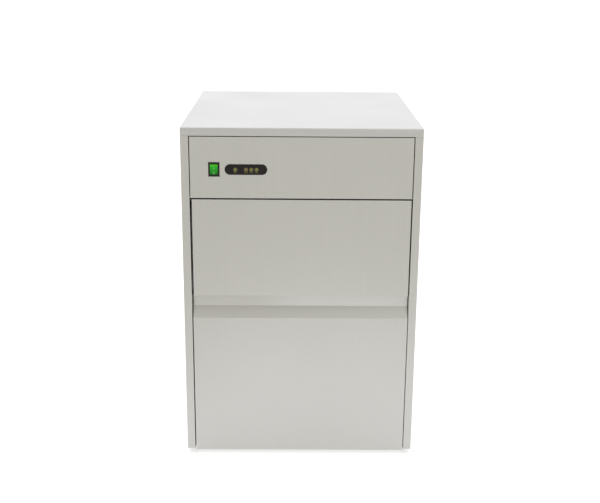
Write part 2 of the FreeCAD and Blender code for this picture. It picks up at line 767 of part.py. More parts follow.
def make_switch():
    housing = body("switch_housing")
    outer_x, outer_z = "bezel_width/2", "bezel_height/2"
    body_x, body_z = "(bezel_width/2 - bezel_frame/2)", "(bezel_height/2 - bezel_frame/2)"
    well_x, well_z = "(bezel_width/2 - bezel_frame)", "(bezel_height/2 - bezel_frame)"

    def centred(half_x, half_z, drop="0"):
        return (rectangle, f"{SWITCH_X} - {half_x}", f"{CONTROL_Z} - {drop} - {half_z}",
                f"{SWITCH_X} + {half_x}", f"{CONTROL_Z} - {drop} + {half_z}")

    extrude(housing, "XZ", f"{FRONT} - bezel_proud", "bezel_proud", centred(outer_x, outer_z))
    extrude(housing, "XZ", FRONT, "switch_depth", centred(body_x, body_z))
    for drop in ("-blade_pitch", "0", "blade_pitch"):
        extrude(housing, "XZ", f"{FRONT} + switch_depth", "blade_length",
                centred("blade_width/2", "blade_metal/2", drop))
    front_y = value(f"{FRONT} - bezel_proud")
    round_edges(housing, "bezel_proud/2", lambda edge: abs(edge.BoundBox.YMax - front_y) < 1e-4)
    cut(housing, "XZ", FRONT, "2*well_depth", centred(well_x, well_z))
    cut(housing, "YZ", SWITCH_X, f"2*{body_x} - 2*fit",
        (circle, ROCKER_Y, CONTROL_Z, "trunnion_radius + running_gap"))
    keep(housing, "switch_housing")

    rocker = body("switch_rocker", SWITCH_X, ROCKER_Y, CONTROL_Z)
    rocker.Placement.Rotation = FreeCAD.Rotation(Vector(1, 0, 0), -value("rocker_tilt"))
    bind(rocker, Placement__Rotation__Angle="rocker_tilt")
    reach = f"({well_z} - 2*rocker_gap)"
    tip = f"-rocker_proud - {reach}*tan(rocker_tilt)"
    extrude(rocker, "YZ", "0", f"2*({well_x} - rocker_gap)",
            (outline, ("-rocker_proud", "0"), (tip, reach), ("rocker_heel/3", reach),
             ("rocker_heel", f"{reach}/2"), ("rocker_heel", f"-{reach}/2"),
             ("rocker_heel/3", f"-{reach}"), (tip, f"-{reach}")), both=True)
    extrude(rocker, "YZ", "0", f"2*{body_x} - 4*fit", (circle, "0", "0", "trunnion_radius"), both=True)
    keep(rocker, "switch_rocker")


def make_indicators():
    plate = body("indicator_plate")
    half = "(plate_length/2 - plate_height/2)"
    face = f"{FRONT} - plate_thickness"
    extrude(plate, "XZ", face, "plate_thickness",
            (rectangle, f"{PLATE_X} - {half}", f"{CONTROL_Z} - plate_height/2",
             f"{PLATE_X} + {half}", f"{CONTROL_Z} + plate_height/2"))
    for sign in (-1, 1):
        extrude(plate, "XZ", face, "plate_thickness",
                (circle, f"{PLATE_X} + {sign}*{half}", CONTROL_Z, "plate_height/2"))
    cut(plate, "XZ", FRONT, "4*plate_thickness",
        *((circle, f"{PLATE_X} + ({x})", CONTROL_Z, "led_radius + fit") for x in LED_PLACES))
    keep(plate, "indicator_plate")

    lamps = []
    tip = "(plate_thickness + led_proud)"
    for x in LED_PLACES:
        lamp = body("lamp", f"{PLATE_X} + ({x})", FRONT, CONTROL_Z)
        turn(lamp, "YZ", "H_Axis", (f"-{tip}", "0"), (f"-{tip}", "led_radius/2"),
             (f"-{tip} + led_radius/4", "led_radius*0.87"), (f"-{tip} + led_radius/2", "led_radius"),
             ("board_setback - led_flange_depth", "led_radius"),
             ("board_setback - led_flange_depth", "led_radius + led_flange"),
             ("board_setback", "led_radius + led_flange"), ("board_setback", "0"))
        lamps.append(lamp)
    keep(group("run_indicator_leds", [lamps[0], lamps[2], lamps[3]]), "run_indicator_leds")
    keep(lamps[1], "fault_indicator_led")

    board = body("indicator_board")
    extrude(board, "XZ", f"{FRONT} + board_setback", "board_thickness",
            (rectangle, f"{PLATE_X} - plate_length/2", f"{CONTROL_Z} - plate_height/2",
             f"{PLATE_X} + plate_length/2", f"{CONTROL_Z} + plate_height/2"))
    keep(board, "indicator_board")

    low = f"({PANEL_BOTTOM} + rail_height + 4*sheet)"
    case = body("control_box")
    extrude(case, "XZ", f"{FACE} - box_depth", "box_depth",
            (rectangle, "-box_width/3", low, "box_width*2/3", f"{low} + box_height"))
    front_y = value(f"{FACE} - box_depth")
    round_edges(case, "box_depth/8", lambda edge: edge.BoundBox.YMin < front_y + 0.01)
    keep(case, "control_box")


# Ice bin

def bin_profile(front, wall):
    """The side view of the bin's hollow, drawn in by a wall, with its open front above the sill."""
    floor, sill = f"{FLOOR} + {wall}", f"{SILL} + {wall}"
    return (outline, (front, sill), (f"{SEAL} + bin_foam + {wall}", sill),
            (f"{SEAL} + bin_foam + {wall}", floor), (f"{TUB_REAR} - bin_foam - {wall}", floor),
            (f"{TUB_REAR} - bin_foam - {wall}", f"{TUB_TOP} + {wall}"), (front, f"{TUB_TOP} + {wall}"))


def pierce_bin(owner, *rear_holes):
    """The drain hole through the floor and the pipe holes through the rear wall."""
    cut(owner, "XY", TUB_BOTTOM, "4*bin_foam", (circle, DRAIN_X, DRAIN_Y, "drain_radius + fit"))
    cut(owner, "XZ", TUB_REAR, "4*bin_foam", *rear_holes)


def pipe_holes():
    return [(circle, COIL_OUT, COIL_Z, "coil_radius + fit"), (circle, COIL_IN, COIL_Z, "coil_radius + fit"),
            (circle, FILL_X, FILL_Z, "fill_radius + fit")]


def make_bin():
    foam = body("bin_insulation")
    extrude(foam, "YZ", "0", f"2*{INNER}",
            (rectangle, SEAL, TUB_BOTTOM, TUB_REAR, TUB_TOP), both=True)
    cut(foam, "YZ", "0", f"2*{CAVITY}", bin_profile(f"{SEAL} - bin_foam", "0"))
    pierce_bin(foam, *pipe_holes())
    keep(foam, "bin_insulation")

    lining = body("bin_liner")
    extrude(lining, "YZ", "0", f"2*{CAVITY}", bin_profile(FACE, "0"), both=True)
    extrude(lining, "XZ", FACE, "liner", (rectangle, f"-{INNER}", TUB_BOTTOM, INNER, TUB_TOP))
    cut(lining, "YZ", "0", f"2*({CAVITY} - liner)", bin_profile(f"{SEAL} - bin_foam", "liner"))
    pierce_bin(lining, *pipe_holes())
    keep(lining, "bin_liner")

    bulkhead = body("upper_bulkhead")
    extrude(bulkhead, "YZ", "0", f"2*({CAVITY} - liner - fit)",
            (rectangle, FACE, BULK_BOTTOM, f"{SEAL} + bin_foam", TUB_TOP), both=True)
    low, back = value(BULK_BOTTOM), value(f"{SEAL} + bin_foam")
    round_edges(bulkhead, "bin_foam/4", lambda edge: edge.BoundBox.ZMax < low + 0.01
                and edge.BoundBox.XLength > 1 and edge.BoundBox.YMax > back - 0.01)
    keep(bulkhead, "upper_bulkhead")

    cap = body("top_insulation")
    extrude(cap, "YZ", "0", f"2*({INNER} - lid_radius/2)",
            (rectangle, FACE, TUB_TOP, TUB_REAR, f"{TOP} - sheet"), both=True)
    keep(cap, "top_insulation")

    strainer = body("bin_drain_strainer", DRAIN_X, DRAIN_Y, f"{FLOOR} + liner")
    bore = "(drain_radius - drain_wall)"
    end = "-(bin_foam + liner + drain_tail)"
    turn(strainer, "XZ", "V_Axis", ("0", "0"), (bore, "0"), (bore, end), ("drain_radius", end),
         ("drain_radius", "0"), ("2*drain_radius", "0"), ("2*drain_radius - strainer_lid", "strainer_lid"),
         ("0", "strainer_lid"))
    cut(strainer, "XY", "0", "4*strainer_lid", (circle, "0", "0", f"{bore}/5"),
        *((circle, f"{bore}*0.6*cos({angle})", f"{bore}*0.6*sin({angle})", f"{bore}/5")
          for angle in range(0, 360, 60)))
    keep(strainer, "bin_drain_strainer")
    hose = tube("drain_hose", "drain_radius", "3*drain_radius",
                (DRAIN_X, DRAIN_Y, f"{TUB_BOTTOM} - drain_tail"), (DRAIN_X, DRAIN_Y, "outlet_height"),
                (DRAIN_X, f"{REAR} - 2*sheet - fitting_tail", "outlet_height"))
    keep(hose, "drain_hose")


# Ice making unit

def make_unit_frame():
    frame = body("ice_maker_frame")
    half, low = UNIT_HALF, f"({UNIT_TOP} - unit_height)"
    extrude(frame, "XZ", UNIT_FRONT, "unit_depth",
            (outline, (f"-{half}", low), (f"-{half} + unit_sheet", low),
             (f"-{half} + unit_sheet", f"{UNIT_TOP} - unit_sheet"),
             (f"{half} - unit_sheet", f"{UNIT_TOP} - unit_sheet"), (f"{half} - unit_sheet", low),
             (half, low), (half, UNIT_TOP), (f"-{half}", UNIT_TOP)))
    extrude(frame, "XZ", f"{UNIT_REAR} - unit_sheet", "unit_sheet",
            (rectangle, f"-{half}", f"{PLATE_Z} - plate_metal", half, UNIT_TOP))
    cut(frame, "XZ", UNIT_REAR, "6*unit_sheet", *pipe_holes())
    cut(frame, "YZ", "0", f"3*{half}", (circle, SHAFT_Y, SHAFT_Z, "tray_bush_radius + running_gap"))
    keep(frame, "ice_maker_frame")


def make_evaporator():
    plate = body("evaporator")
    extrude(plate, "XY", f"{PLATE_Z} - plate_metal", "plate_metal",
            (rectangle, f"{FINGER_X} - plate_rim", f"{ROW_FRONT} - plate_rim",
             f"{FINGER_X} + {FINGER_PITCH}*(finger_count - 1) + plate_rim", f"{ROW_REAR} + plate_rim"))
    for y in (ROW_FRONT, ROW_REAR):
        finger = extrude(plate, "XY", f"{PLATE_Z} - plate_metal - finger_length",
                         "finger_length + plate_metal/2", (circle, FINGER_X, y, "finger_radius"))
        repeat(plate, finger, "X", FINGER_PITCH, "finger_count")
    tip = value(f"{PLATE_Z} - plate_metal - finger_length")
    base = plate.Tip
    tips = plate.newObject("PartDesign::Chamfer", "Chamfer")
    tips.Base = (base, [f"Edge{i}" for i, edge in enumerate(base.Shape.Edges, 1)
                        if abs(edge.BoundBox.ZMax - tip) < 1e-4])
    bind(tips, Size="finger_radius*0.4")
    doc.recompute()
    keep(plate, "evaporator")

    coil = tube("evaporator_coil", "coil_radius", "finger_row_gap*0.45",
                (COIL_OUT, PIPE_END, COIL_Z), (COIL_OUT, ROW_FRONT, COIL_Z), (COIL_LEFT, ROW_FRONT, COIL_Z),
                (COIL_LEFT, ROW_REAR, COIL_Z), (COIL_IN, ROW_REAR, COIL_Z), (COIL_IN, PIPE_END, COIL_Z))
    keep(coil, "evaporator_coil")
    middle = f"({ROW_FRONT} + {ROW_REAR})/2"
    hangers = [cylinder("hanger", "Z", f"{FINGER_X} + {FINGER_PITCH}*{step}", middle, PLATE_Z,
                        "hanger_radius", "plate_drop - unit_sheet") for step in (1, 3, 5)]
    keep(group("evaporator_hangers", hangers), "evaporator_hangers")


def make_water_tray():
    tray = body("water_tray")
    front, back = f"({SHAFT_Y} - tray_offset - tray_width)", f"({SHAFT_Y} - tray_offset)"
    high = f"({SHAFT_Z} - tray_rise)"
    extrude(tray, "XY", f"{high} - tray_height", "tray_height",
            (rectangle, TRAY_LEFT, front, TRAY_RIGHT, back))
    rim = value(high)
    round_edges(tray, "3*tray_wall", lambda edge: edge.BoundBox.ZMin < rim - 0.01)
    shell(tray, "tray_wall", is_flat_at("Z", rim))
    for start in (f"{TRAY_LEFT} - ear_thickness", TRAY_RIGHT):
        extrude(tray, "YZ", start, "ear_thickness",
                (outline, (f"{SHAFT_Y} + ear_reach", f"{SHAFT_Z} + ear_reach"),
                 (f"{SHAFT_Y} + ear_reach", f"{SHAFT_Z} - ear_reach"),
                 (f"{back} - ear_reach", f"{high} - tray_height/2"),
                 (f"{back} - 4*ear_reach", f"{high} - tray_height/2"),
                 (f"{back} - 4*ear_reach", f"{high} - tray_rise"),
                 (f"{SHAFT_Y} - ear_reach", f"{SHAFT_Z} + ear_reach")))
    cut(tray, "YZ", "0", f"3*{UNIT_HALF}", (circle, SHAFT_Y, SHAFT_Z, "shaft_radius + running_gap"))
    extrude(tray, "YZ", f"{TRAY_LEFT} + tray_wall", "paddle_radius",
            (circle, PADDLE_Y, PADDLE_Z, "paddle_radius"))
    socket = (circle, PADDLE_Y, PADDLE_Z, "paddle_rod + running_gap")
    cut(tray, "YZ", f"{TRAY_LEFT} + tray_wall + paddle_radius", "2*paddle_radius", socket)
    cut(tray, "YZ", TRAY_RIGHT, "4*tray_wall", socket)
    keep(tray, "water_tray")

    rod = cylinder("tray_shaft", "X", f"-{UNIT_HALF} - shaft_grip", SHAFT_Y, SHAFT_Z, "shaft_radius",
                   f"2*{UNIT_HALF} + shaft_grip + shaft_tail")
    keep(rod, "tray_shaft")
    bushes = []
    for sign in (-1, 1):
        bush = body("tray_bush", "0", SHAFT_Y, SHAFT_Z)
        outer, face = f"{sign}*{UNIT_HALF}", f"{sign}*({UNIT_HALF} - unit_sheet)"
        inner = f"{sign}*({UNIT_HALF} - unit_sheet - bush_flange)"
        turn(bush, "XZ", "H_Axis", (outer, "shaft_radius + running_gap"), (outer, "tray_bush_radius"),
             (face, "tray_bush_radius"), (face, "tray_bush_radius + bush_lip"),
             (inner, "tray_bush_radius + bush_lip"),
             (inner, "shaft_radius + running_gap"))
        bushes.append(bush)
    keep(group("tray_bushes", bushes), "tray_bushes")

    motor = body("tray_gearmotor")
    extrude(motor, "YZ", f"-{UNIT_HALF} - gear_depth", "gear_depth",
            (rectangle, f"{SHAFT_Y} - gear_width/2", f"{SHAFT_Z} - gear_width/2",
             f"{SHAFT_Y} + gear_width/2", f"{SHAFT_Z} + gear_width*0.8"))
    left = value(f"-{UNIT_HALF} - gear_depth")
    round_edges(motor, "gear_depth/10", lambda edge: edge.BoundBox.XMax < left + 0.01
                or edge.BoundBox.XLength > 1)
    cut(motor, "YZ", f"-{UNIT_HALF}", "2*shaft_grip + 2*fit",
        (circle, SHAFT_Y, SHAFT_Z, "shaft_radius + running_gap"))
    extrude(motor, "YZ", f"-{UNIT_HALF} - gear_depth - can_depth", "can_depth",
            (circle, SHAFT_Y, f"{SHAFT_Z} + gear_width/3", "gear_width/4"))
    keep(motor, "tray_gearmotor")


def make_paddles():
    paddles = body("paddle_shaft")
    start, end = f"({TRAY_LEFT} + tray_wall + fit)", f"({TRAY_RIGHT} + shaft_grip)"
    extrude(paddles, "YZ", start, f"{end} - {start}", (circle, PADDLE_Y, PADDLE_Z, "paddle_rod"))
    first = f"({FINGER_X} + {FINGER_PITCH}/2)"
    blade = extrude(paddles, "XZ", f"{PADDLE_Y} - blade_metal", "2*blade_metal",
                    (rectangle, f"{first} - {FINGER_PITCH}*0.3", f"{PADDLE_Z} - paddle_radius",
                     f"{first} + {FINGER_PITCH}*0.3", f"{PADDLE_Z} + paddle_radius"))
    repeat(paddles, blade, "X", FINGER_PITCH, "finger_count - 1")
    keep(paddles, "paddle_shaft")

    motor = body("paddle_motor")
    extrude(motor, "YZ", f"{TRAY_RIGHT} + ear_thickness", "paddle_motor_depth - ear_thickness",
            (rectangle, f"{PADDLE_Y} - paddle_motor_width/2", f"{PADDLE_Z} - paddle_radius - tray_wall",
             f"{PADDLE_Y} + paddle_motor_width/2", f"{PADDLE_Z} + paddle_motor_width/2"))
    extrude(motor, "YZ", TRAY_RIGHT, "ear_thickness", (circle, PADDLE_Y, PADDLE_Z, "paddle_radius"))
    cut(motor, "YZ", TRAY_RIGHT, "2*shaft_grip + 2*fit",
        (circle, PADDLE_Y, PADDLE_Z, "paddle_rod + running_gap"))
    keep(motor, "paddle_motor")


def make_bin_switch():
    case = body("bin_switch")
    extrude(case, "YZ", UNIT_HALF, "lever_case",
            (rectangle, f"{LEVER_Y} - lever_case", f"{LEVER_Z} - lever_case*0.6",
             f"{LEVER_Y} + lever_case", f"{LEVER_Z} + lever_case"))
    cut(case, "YZ", f"{UNIT_HALF} + lever_case", "2*shaft_grip + 2*fit",
        (circle, LEVER_Y, LEVER_Z, "paddle_rod + running_gap"))
    keep(case, "bin_switch")
    lever = body("bin_full_lever")
    near = f"({UNIT_HALF} + lever_case + bush_flange)"
    extrude(lever, "YZ", near, "lever_metal",
            (outline, (f"{LEVER_Y} - lever_width/2", f"{LEVER_Z} + lever_width/2"),
             (f"{LEVER_Y} - lever_width/2", f"{LEVER_Z} - lever_length"),
             (f"{LEVER_Y} + lever_width", f"{LEVER_Z} - lever_length - lever_width"),
             (f"{LEVER_Y} + lever_width", f"{LEVER_Z} - lever_length + lever_width/2"),
             (f"{LEVER_Y} + lever_width/2", f"{LEVER_Z} - lever_length + lever_width"),
             (f"{LEVER_Y} + lever_width/2", f"{LEVER_Z} + lever_width/2")))
    extrude(lever, "YZ", f"{near} - bush_flange - shaft_grip", "bush_flange + shaft_grip + lever_metal/2",
            (circle, LEVER_Y, LEVER_Z, "paddle_rod"))
    keep(lever, "bin_full_lever")


# Refrigeration

def make_compressor():
    shape = body("compressor", COMP_X, COMP_Y, COMP_Z)
    seam, seam_top = "compressor_radius + seam_lip", "seam_height + 2*seam_lip"
    turn(shape, "XZ", "V_Axis", ("0", "0"), ("compressor_radius - stub_length", "0"),
         ("compressor_radius", "stub_length"), ("compressor_radius", "seam_height"),
         (seam, "seam_height"), (seam, seam_top), ("compressor_radius", seam_top),
         ("compressor_radius", "compressor_height - crown"),
         ("compressor_radius*0.92", "compressor_height - crown*0.6"),
         ("compressor_radius*0.7", "compressor_height - crown*0.25"),
         ("compressor_radius*0.35", "compressor_height"), ("0", "compressor_height"))
    half_x, half_y = "(compressor_radius + mount_overhang)", "(compressor_radius*0.62)"
    extrude(shape, "XY", "0", "mount_metal", (rectangle, f"-{half_x}", f"-{half_y}", half_x, half_y))
    cut(shape, "XY", "0", "4*mount_metal",
        *((circle, f"{a}*{MOUNT_X}", f"{b}*{MOUNT_Y}", "mount_bolt + fit") for a, b in QUADRANTS))
    extrude(shape, "XZ", "compressor_radius*0.8", "compressor_radius*0.2 + stub_length",
            (circle, f"{COIL_IN} - {COMP_X}", "stub_height", "coil_radius + stub_wall"))
    extrude(shape, "YZ", "-compressor_radius - stub_length", "compressor_radius*0.2 + stub_length",
            (circle, "0", "stub_height", "coil_radius + stub_wall"))
    keep(shape, "compressor")

    mounts, bolts = [], []
    for a, b in QUADRANTS:
        x, y = f"{COMP_X} + {a}*{MOUNT_X}", f"{COMP_Y} + {b}*{MOUNT_Y}"
        mount = body("mount", x, y, f"{PAN} + sheet")
        turn(mount, "XZ", "V_Axis", ("mount_bolt + fit", "0"), ("mount_radius", "0"),
             ("mount_radius", "mount_height*0.35"), ("mount_radius - mount_margin", "mount_height*0.5"),
             ("mount_radius", "mount_height*0.65"), ("mount_radius", "mount_height"),
             ("mount_bolt + fit", "mount_height"))
        mounts.append(mount)
        bolt = body("mount_bolt_shape", x, y, f"{PAN} + sheet")
        head = "(mount_height + mount_metal)"
        turn(bolt, "XZ", "V_Axis", ("0", "0"), ("mount_bolt", "0"), ("mount_bolt", head),
             ("mount_radius - mount_metal", head), ("mount_radius - mount_metal", f"{head} + mount_metal"),
             ("0", f"{head} + mount_metal"))
        bolts.append(bolt)
    keep(group("compressor_mounts", mounts), "compressor_mounts")
    keep(group("compressor_bolts", bolts), "compressor_bolts")

    block = box("terminal_block", f"{COMP_X} - terminal_width/2",
                f"{COMP_Y} - compressor_radius - terminal_depth", f"{COMP_Z} + terminal_low",
                "terminal_width", "terminal_depth*2", "terminal_height")
    shade = cylinder("terminal_hollow", "Z", COMP_X, COMP_Y, COMP_Z, "compressor_radius + running_gap",
                     "compressor_height")
    keep(less("terminal_cover", block, shade), "terminal_cover")


def make_condenser():
    core = body("condenser")
    low = f"({PAN} + sheet)"
    for x in (f"{COND_LEFT} + header_radius", f"{COND_RIGHT} - header_radius"):
        extrude(core, "XY", low, "condenser_height", (circle, x, HEADER_Y, "header_radius"))
    flat = extrude(core, "YZ", f"{COND_LEFT} + header_radius", "condenser_width - 2*header_radius",
                   (rectangle, f"{HEADER_Y} - header_radius*0.8", f"{low} + {FLAT_PITCH}/2",
                    f"{HEADER_Y} + header_radius*0.8", f"{low} + {FLAT_PITCH}/2 + flat_metal"))
    repeat(core, flat, "Z", FLAT_PITCH, "flat_count")
    first = f"({COND_LEFT} + 2*header_radius + {FIN_PITCH}/2)"
    fin = extrude(core, "XZ", COND_Y, "condenser_depth",
                  (rectangle, first, low, f"{first} + fin_metal", f"{low} + condenser_height"))
    repeat(core, fin, "X", FIN_PITCH, "fin_count")
    keep(core, "condenser")

    shroud = body("fan_shroud")
    extrude(shroud, "XZ", SHROUD_Y, "shroud_depth",
            (rectangle, COND_LEFT, low, COND_RIGHT, f"{low} + condenser_height"))
    shell(shroud, "shroud_wall", is_flat_at("Y", value(COND_Y)))
    cut(shroud, "XZ", SHROUD_Y, "4*shroud_wall", (circle, FAN_X, FAN_Z, "fan_radius + blade_clearance"))
    keep(shroud, "fan_shroud")


def make_fan():
    strap = body("fan_bracket")
    left = f"({FAN_X} - fan_radius - strap_reach)"
    right = f"({FAN_X} + fan_radius + strap_reach)"
    face = f"({SHROUD_Y} - strap_depth)"
    extrude(strap, "XY", f"{FAN_Z} - strap_height/2", "strap_height",
            (outline, (left, SHROUD_Y), (left, face), (right, face), (right, SHROUD_Y),
             (f"{right} - strap_metal", SHROUD_Y), (f"{right} - strap_metal", f"{face} + strap_metal"),
             (f"{left} + strap_metal", f"{face} + strap_metal"), (f"{left} + strap_metal", SHROUD_Y)))
    cut(strap, "XZ", face, "6*strap_metal", (circle, FAN_X, FAN_Z, "fan_rod + fit"))
    keep(strap, "fan_bracket")

    motor = body("fan_motor", FAN_X, face, FAN_Z)
    rod_hole, collar_radius = "fan_rod + running_gap", "fan_motor_radius*0.6"
    turn(motor, "YZ", "H_Axis", ("-fan_motor_length/2", "0"), ("-fan_motor_length/2", rod_hole),
         ("0", rod_hole), ("0", collar_radius), ("-fan_rod", collar_radius),
         ("-fan_rod", "fan_motor_radius"), ("fan_rod - fan_motor_length", "fan_motor_radius"),
         ("-fan_motor_length", "fan_motor_radius - 2*fan_rod"), ("-fan_motor_length", "0"))
    keep(motor, "fan_motor")

    fan = body("fan_blade", FAN_X, FAN_Y, FAN_Z)
    rod_end = f"({face} - fan_motor_length/2 + fit - {FAN_Y})"
    turn(fan, "YZ", "H_Axis", (rod_end, "0"), (rod_end, "fan_rod"), ("-fan_depth/2", "fan_rod"),
         ("-fan_depth/2", "hub_radius*0.9"), ("hub_radius*0.1 - fan_depth/2", "hub_radius"),
         ("fan_depth/2", "hub_radius"), ("fan_depth/2", "hub_radius*0.6"),
         ("fan_depth/3", "hub_radius*0.6"), ("fan_depth/3", "0"))

    def section(at, chord, pitch):
        """A slanted blade section across the hub's radius."""
        along = (f"{chord}/2*sin({pitch})", f"{chord}/2*cos({pitch})")
        thick = (f"fan_metal/2*cos({pitch})", f"fan_metal/2*sin({pitch})")
        corners = [(f"{a}*{along[0]} + {b}*{thick[0]}", f"{a}*{along[1]} - {b}*{thick[1]}")
                   for a, b in ((-1, -1), (1, -1), (1, 1), (-1, 1))]
        return sketch(fan, "YZ", at, [(outline, *corners)])

    root = section("hub_radius*0.7", "fan_root_chord", "fan_root_pitch")
    reach = "sqrt(fan_radius^2 - (fan_tip_chord/2*cos(fan_tip_pitch))^2)"
    tip = section(reach, "fan_tip_chord", "fan_tip_pitch")
    blade = fan.newObject("PartDesign::AdditiveLoft", "Loft")
    blade.Profile = root
    blade.Sections = [tip]
    blade.Ruled = True
    doc.recompute()
    ring = fan.newObject("PartDesign::PolarPattern", "PolarPattern")
    ring.Originals = [blade]
    ring.Axis = (origin(fan, "Y_Axis"), [""])
    ring.Angle = 360
    bind(ring, Occurrences="fan_blades")
    fan.Tip = ring
    doc.recompute()
    keep(fan, "fan_blade")


def make_pipes():
    drier = body("filter_drier", DRIER_X, HEADER_Y, DRIER_Z)
    turn(drier, "XZ", "V_Axis", ("0", "0"), ("coil_radius", "0"), ("coil_radius", "drier_length*0.08"),
         ("drier_radius", "drier_length*0.18"), ("drier_radius", "drier_length*0.82"),
         ("capillary_radius + stub_wall", "drier_length*0.92"),
         ("capillary_radius + stub_wall", "drier_length"),
         ("0", "drier_length"))
    keep(drier, "filter_drier")

    stub_z = f"({COMP_Z} + stub_height)"
    suction_y = f"({REAR} - duct_inset)"
    keep(tube("suction_line", "coil_radius", "pipe_bend", (COIL_IN, PIPE_END, COIL_Z),
              (COIL_IN, suction_y, COIL_Z), (COIL_IN, suction_y, stub_z),
              (COIL_IN, f"{COMP_Y} + compressor_radius + stub_length", stub_z)), "suction_line")
    header_x = f"({COND_RIGHT} - header_radius)"
    header_top = f"({PAN} + sheet + condenser_height)"
    over = f"({header_top} + pipe_bend + pipe_radius)"
    stub_x = f"({COMP_X} - compressor_radius - stub_length)"
    riser_x = f"({stub_x} - 2*pipe_bend)"
    keep(tube("discharge_line", "pipe_radius", "pipe_bend", (stub_x, COMP_Y, stub_z),
              (riser_x, COMP_Y, stub_z), (riser_x, COMP_Y, over), (header_x, HEADER_Y, over),
              (header_x, HEADER_Y, header_top)), "discharge_line")
    low = f"({PAN} + sheet + {FLAT_PITCH}/2)"
    keep(tube("liquid_line", "pipe_radius", "pipe_bend", (COND_RIGHT, HEADER_Y, low),
              (DRIER_X, HEADER_Y, low), (DRIER_X, HEADER_Y, DRIER_Z)), "liquid_line")
    keep(tube("capillary_line", "capillary_radius", "pipe_bend",
              (DRIER_X, HEADER_Y, f"{DRIER_Z} + drier_length"), (DRIER_X, HEADER_Y, COIL_Z),
              (COIL_OUT, HEADER_Y, COIL_Z), (COIL_OUT, PIPE_END, COIL_Z)), "capillary_line")
    riser_y = f"({REAR} - valve_setback - valve_depth/2)"
    keep(tube("fill_tube", "fill_radius", "fill_bend",
              (FITTING_X, riser_y, f"inlet_height + {VALVE_TOP}"), (FITTING_X, riser_y, FILL_Z),
              (FILL_X, riser_y, FILL_Z), (FILL_X, FILL_Y, FILL_Z),
              (FILL_X, FILL_Y, f"{SHAFT_Z} + tray_rise")), "fill_tube")


# Rear connections

def make_fittings():
    valve = body("water_inlet_valve", FITTING_X, REAR, "inlet_height")
    half, bore = "(inlet_radius + collar)", "inlet_radius*0.7"
    turn(valve, "YZ", "H_Axis", ("fitting_reach", bore), ("fitting_reach", "inlet_radius"),
         ("collar", "inlet_radius"), ("collar", half), ("-sheet", half), ("-sheet", "inlet_radius"),
         ("-valve_setback", "inlet_radius"), ("-valve_setback", "0"), ("0", "0"), ("0", bore))
    extrude(valve, "XZ", "-valve_setback - valve_depth", "valve_depth",
            (rectangle, f"-{half}", f"-{half}", half, VALVE_TOP))
    extrude(valve, "XY", f"-{half} - valve_depth*0.6", "valve_depth*0.6",
            (circle, "0", "-valve_setback - valve_depth/2", "inlet_radius*0.9"))
    keep(valve, "water_inlet_valve")

    outlet = body("drain_outlet", FITTING_X, REAR, "outlet_height")
    bore, flange = "(outlet_radius - drain_wall)", "outlet_radius + collar"
    turn(outlet, "YZ", "H_Axis", ("fitting_reach", bore), ("fitting_reach", "outlet_radius"),
         ("collar", "outlet_radius"), ("collar", flange), ("-sheet", flange), ("-sheet", "outlet_radius"),
         ("-2*sheet - fitting_tail", "outlet_radius"), ("-2*sheet - fitting_tail", bore))
    keep(outlet, "drain_outlet")

    gland = body("cord_gland", FITTING_X, REAR, "gland_height")
    neck = "(gland_bore + gland_wall)"
    lip, inner_end = f"{neck} + gland_lip", "-2*sheet - collar"
    turn(gland, "YZ", "H_Axis", ("fitting_reach/2", "gland_bore"),
         ("fitting_reach/2", "gland_bore + gland_lip"),
         ("collar", lip), ("-sheet", lip), ("-sheet", neck), ("-2*sheet", neck), ("-2*sheet", lip),
         (inner_end, lip), (inner_end, "gland_bore"))
    keep(gland, "cord_gland")


make_feet()
make_base_pan()
make_side_panel("left_side_panel", -1)
make_side_panel("right_side_panel", 1)
make_rear_panel()
make_top_cover()
make_deck()
make_cross_rail()
make_control_panel()
make_lower_panel()
make_door()
make_door_pivots()
make_switch()
make_indicators()
make_bin()
make_unit_frame()
make_evaporator()
make_water_tray()
make_paddles()
make_bin_switch()
make_compressor()
make_condenser()
make_fan()
make_pipes()
make_fittings()
doc.recompute()

for item in doc.Objects:
    if "Invalid" in item.State or "Error" in item.State:
        raise SystemExit(f"{item.Label} did not recompute: {item.State}")
for label, item in nodes.items():
    if item.Shape.isNull() or not item.Shape.isValid():
        raise SystemExit(f"{label} has no valid shape")
    bounds = item.Shape.BoundBox
    print(f"{label}: {len(item.Shape.Solids)} solids, {item.Shape.Volume / 1000:.1f} cm3, "
          f"z {bounds.ZMin:.1f} to {bounds.ZMax:.1f}")

os.makedirs("parts", exist_ok=True)
for label, item in nodes.items():
    item.Shape.exportStep(f"parts/{label}.step")
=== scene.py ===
"""Looks of the undercounter ice maker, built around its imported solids. Lengths are in metres."""

import json
import math

import bmesh
import bpy
from mathutils import Matrix, Vector
from mathutils.bvhtree import BVHTree


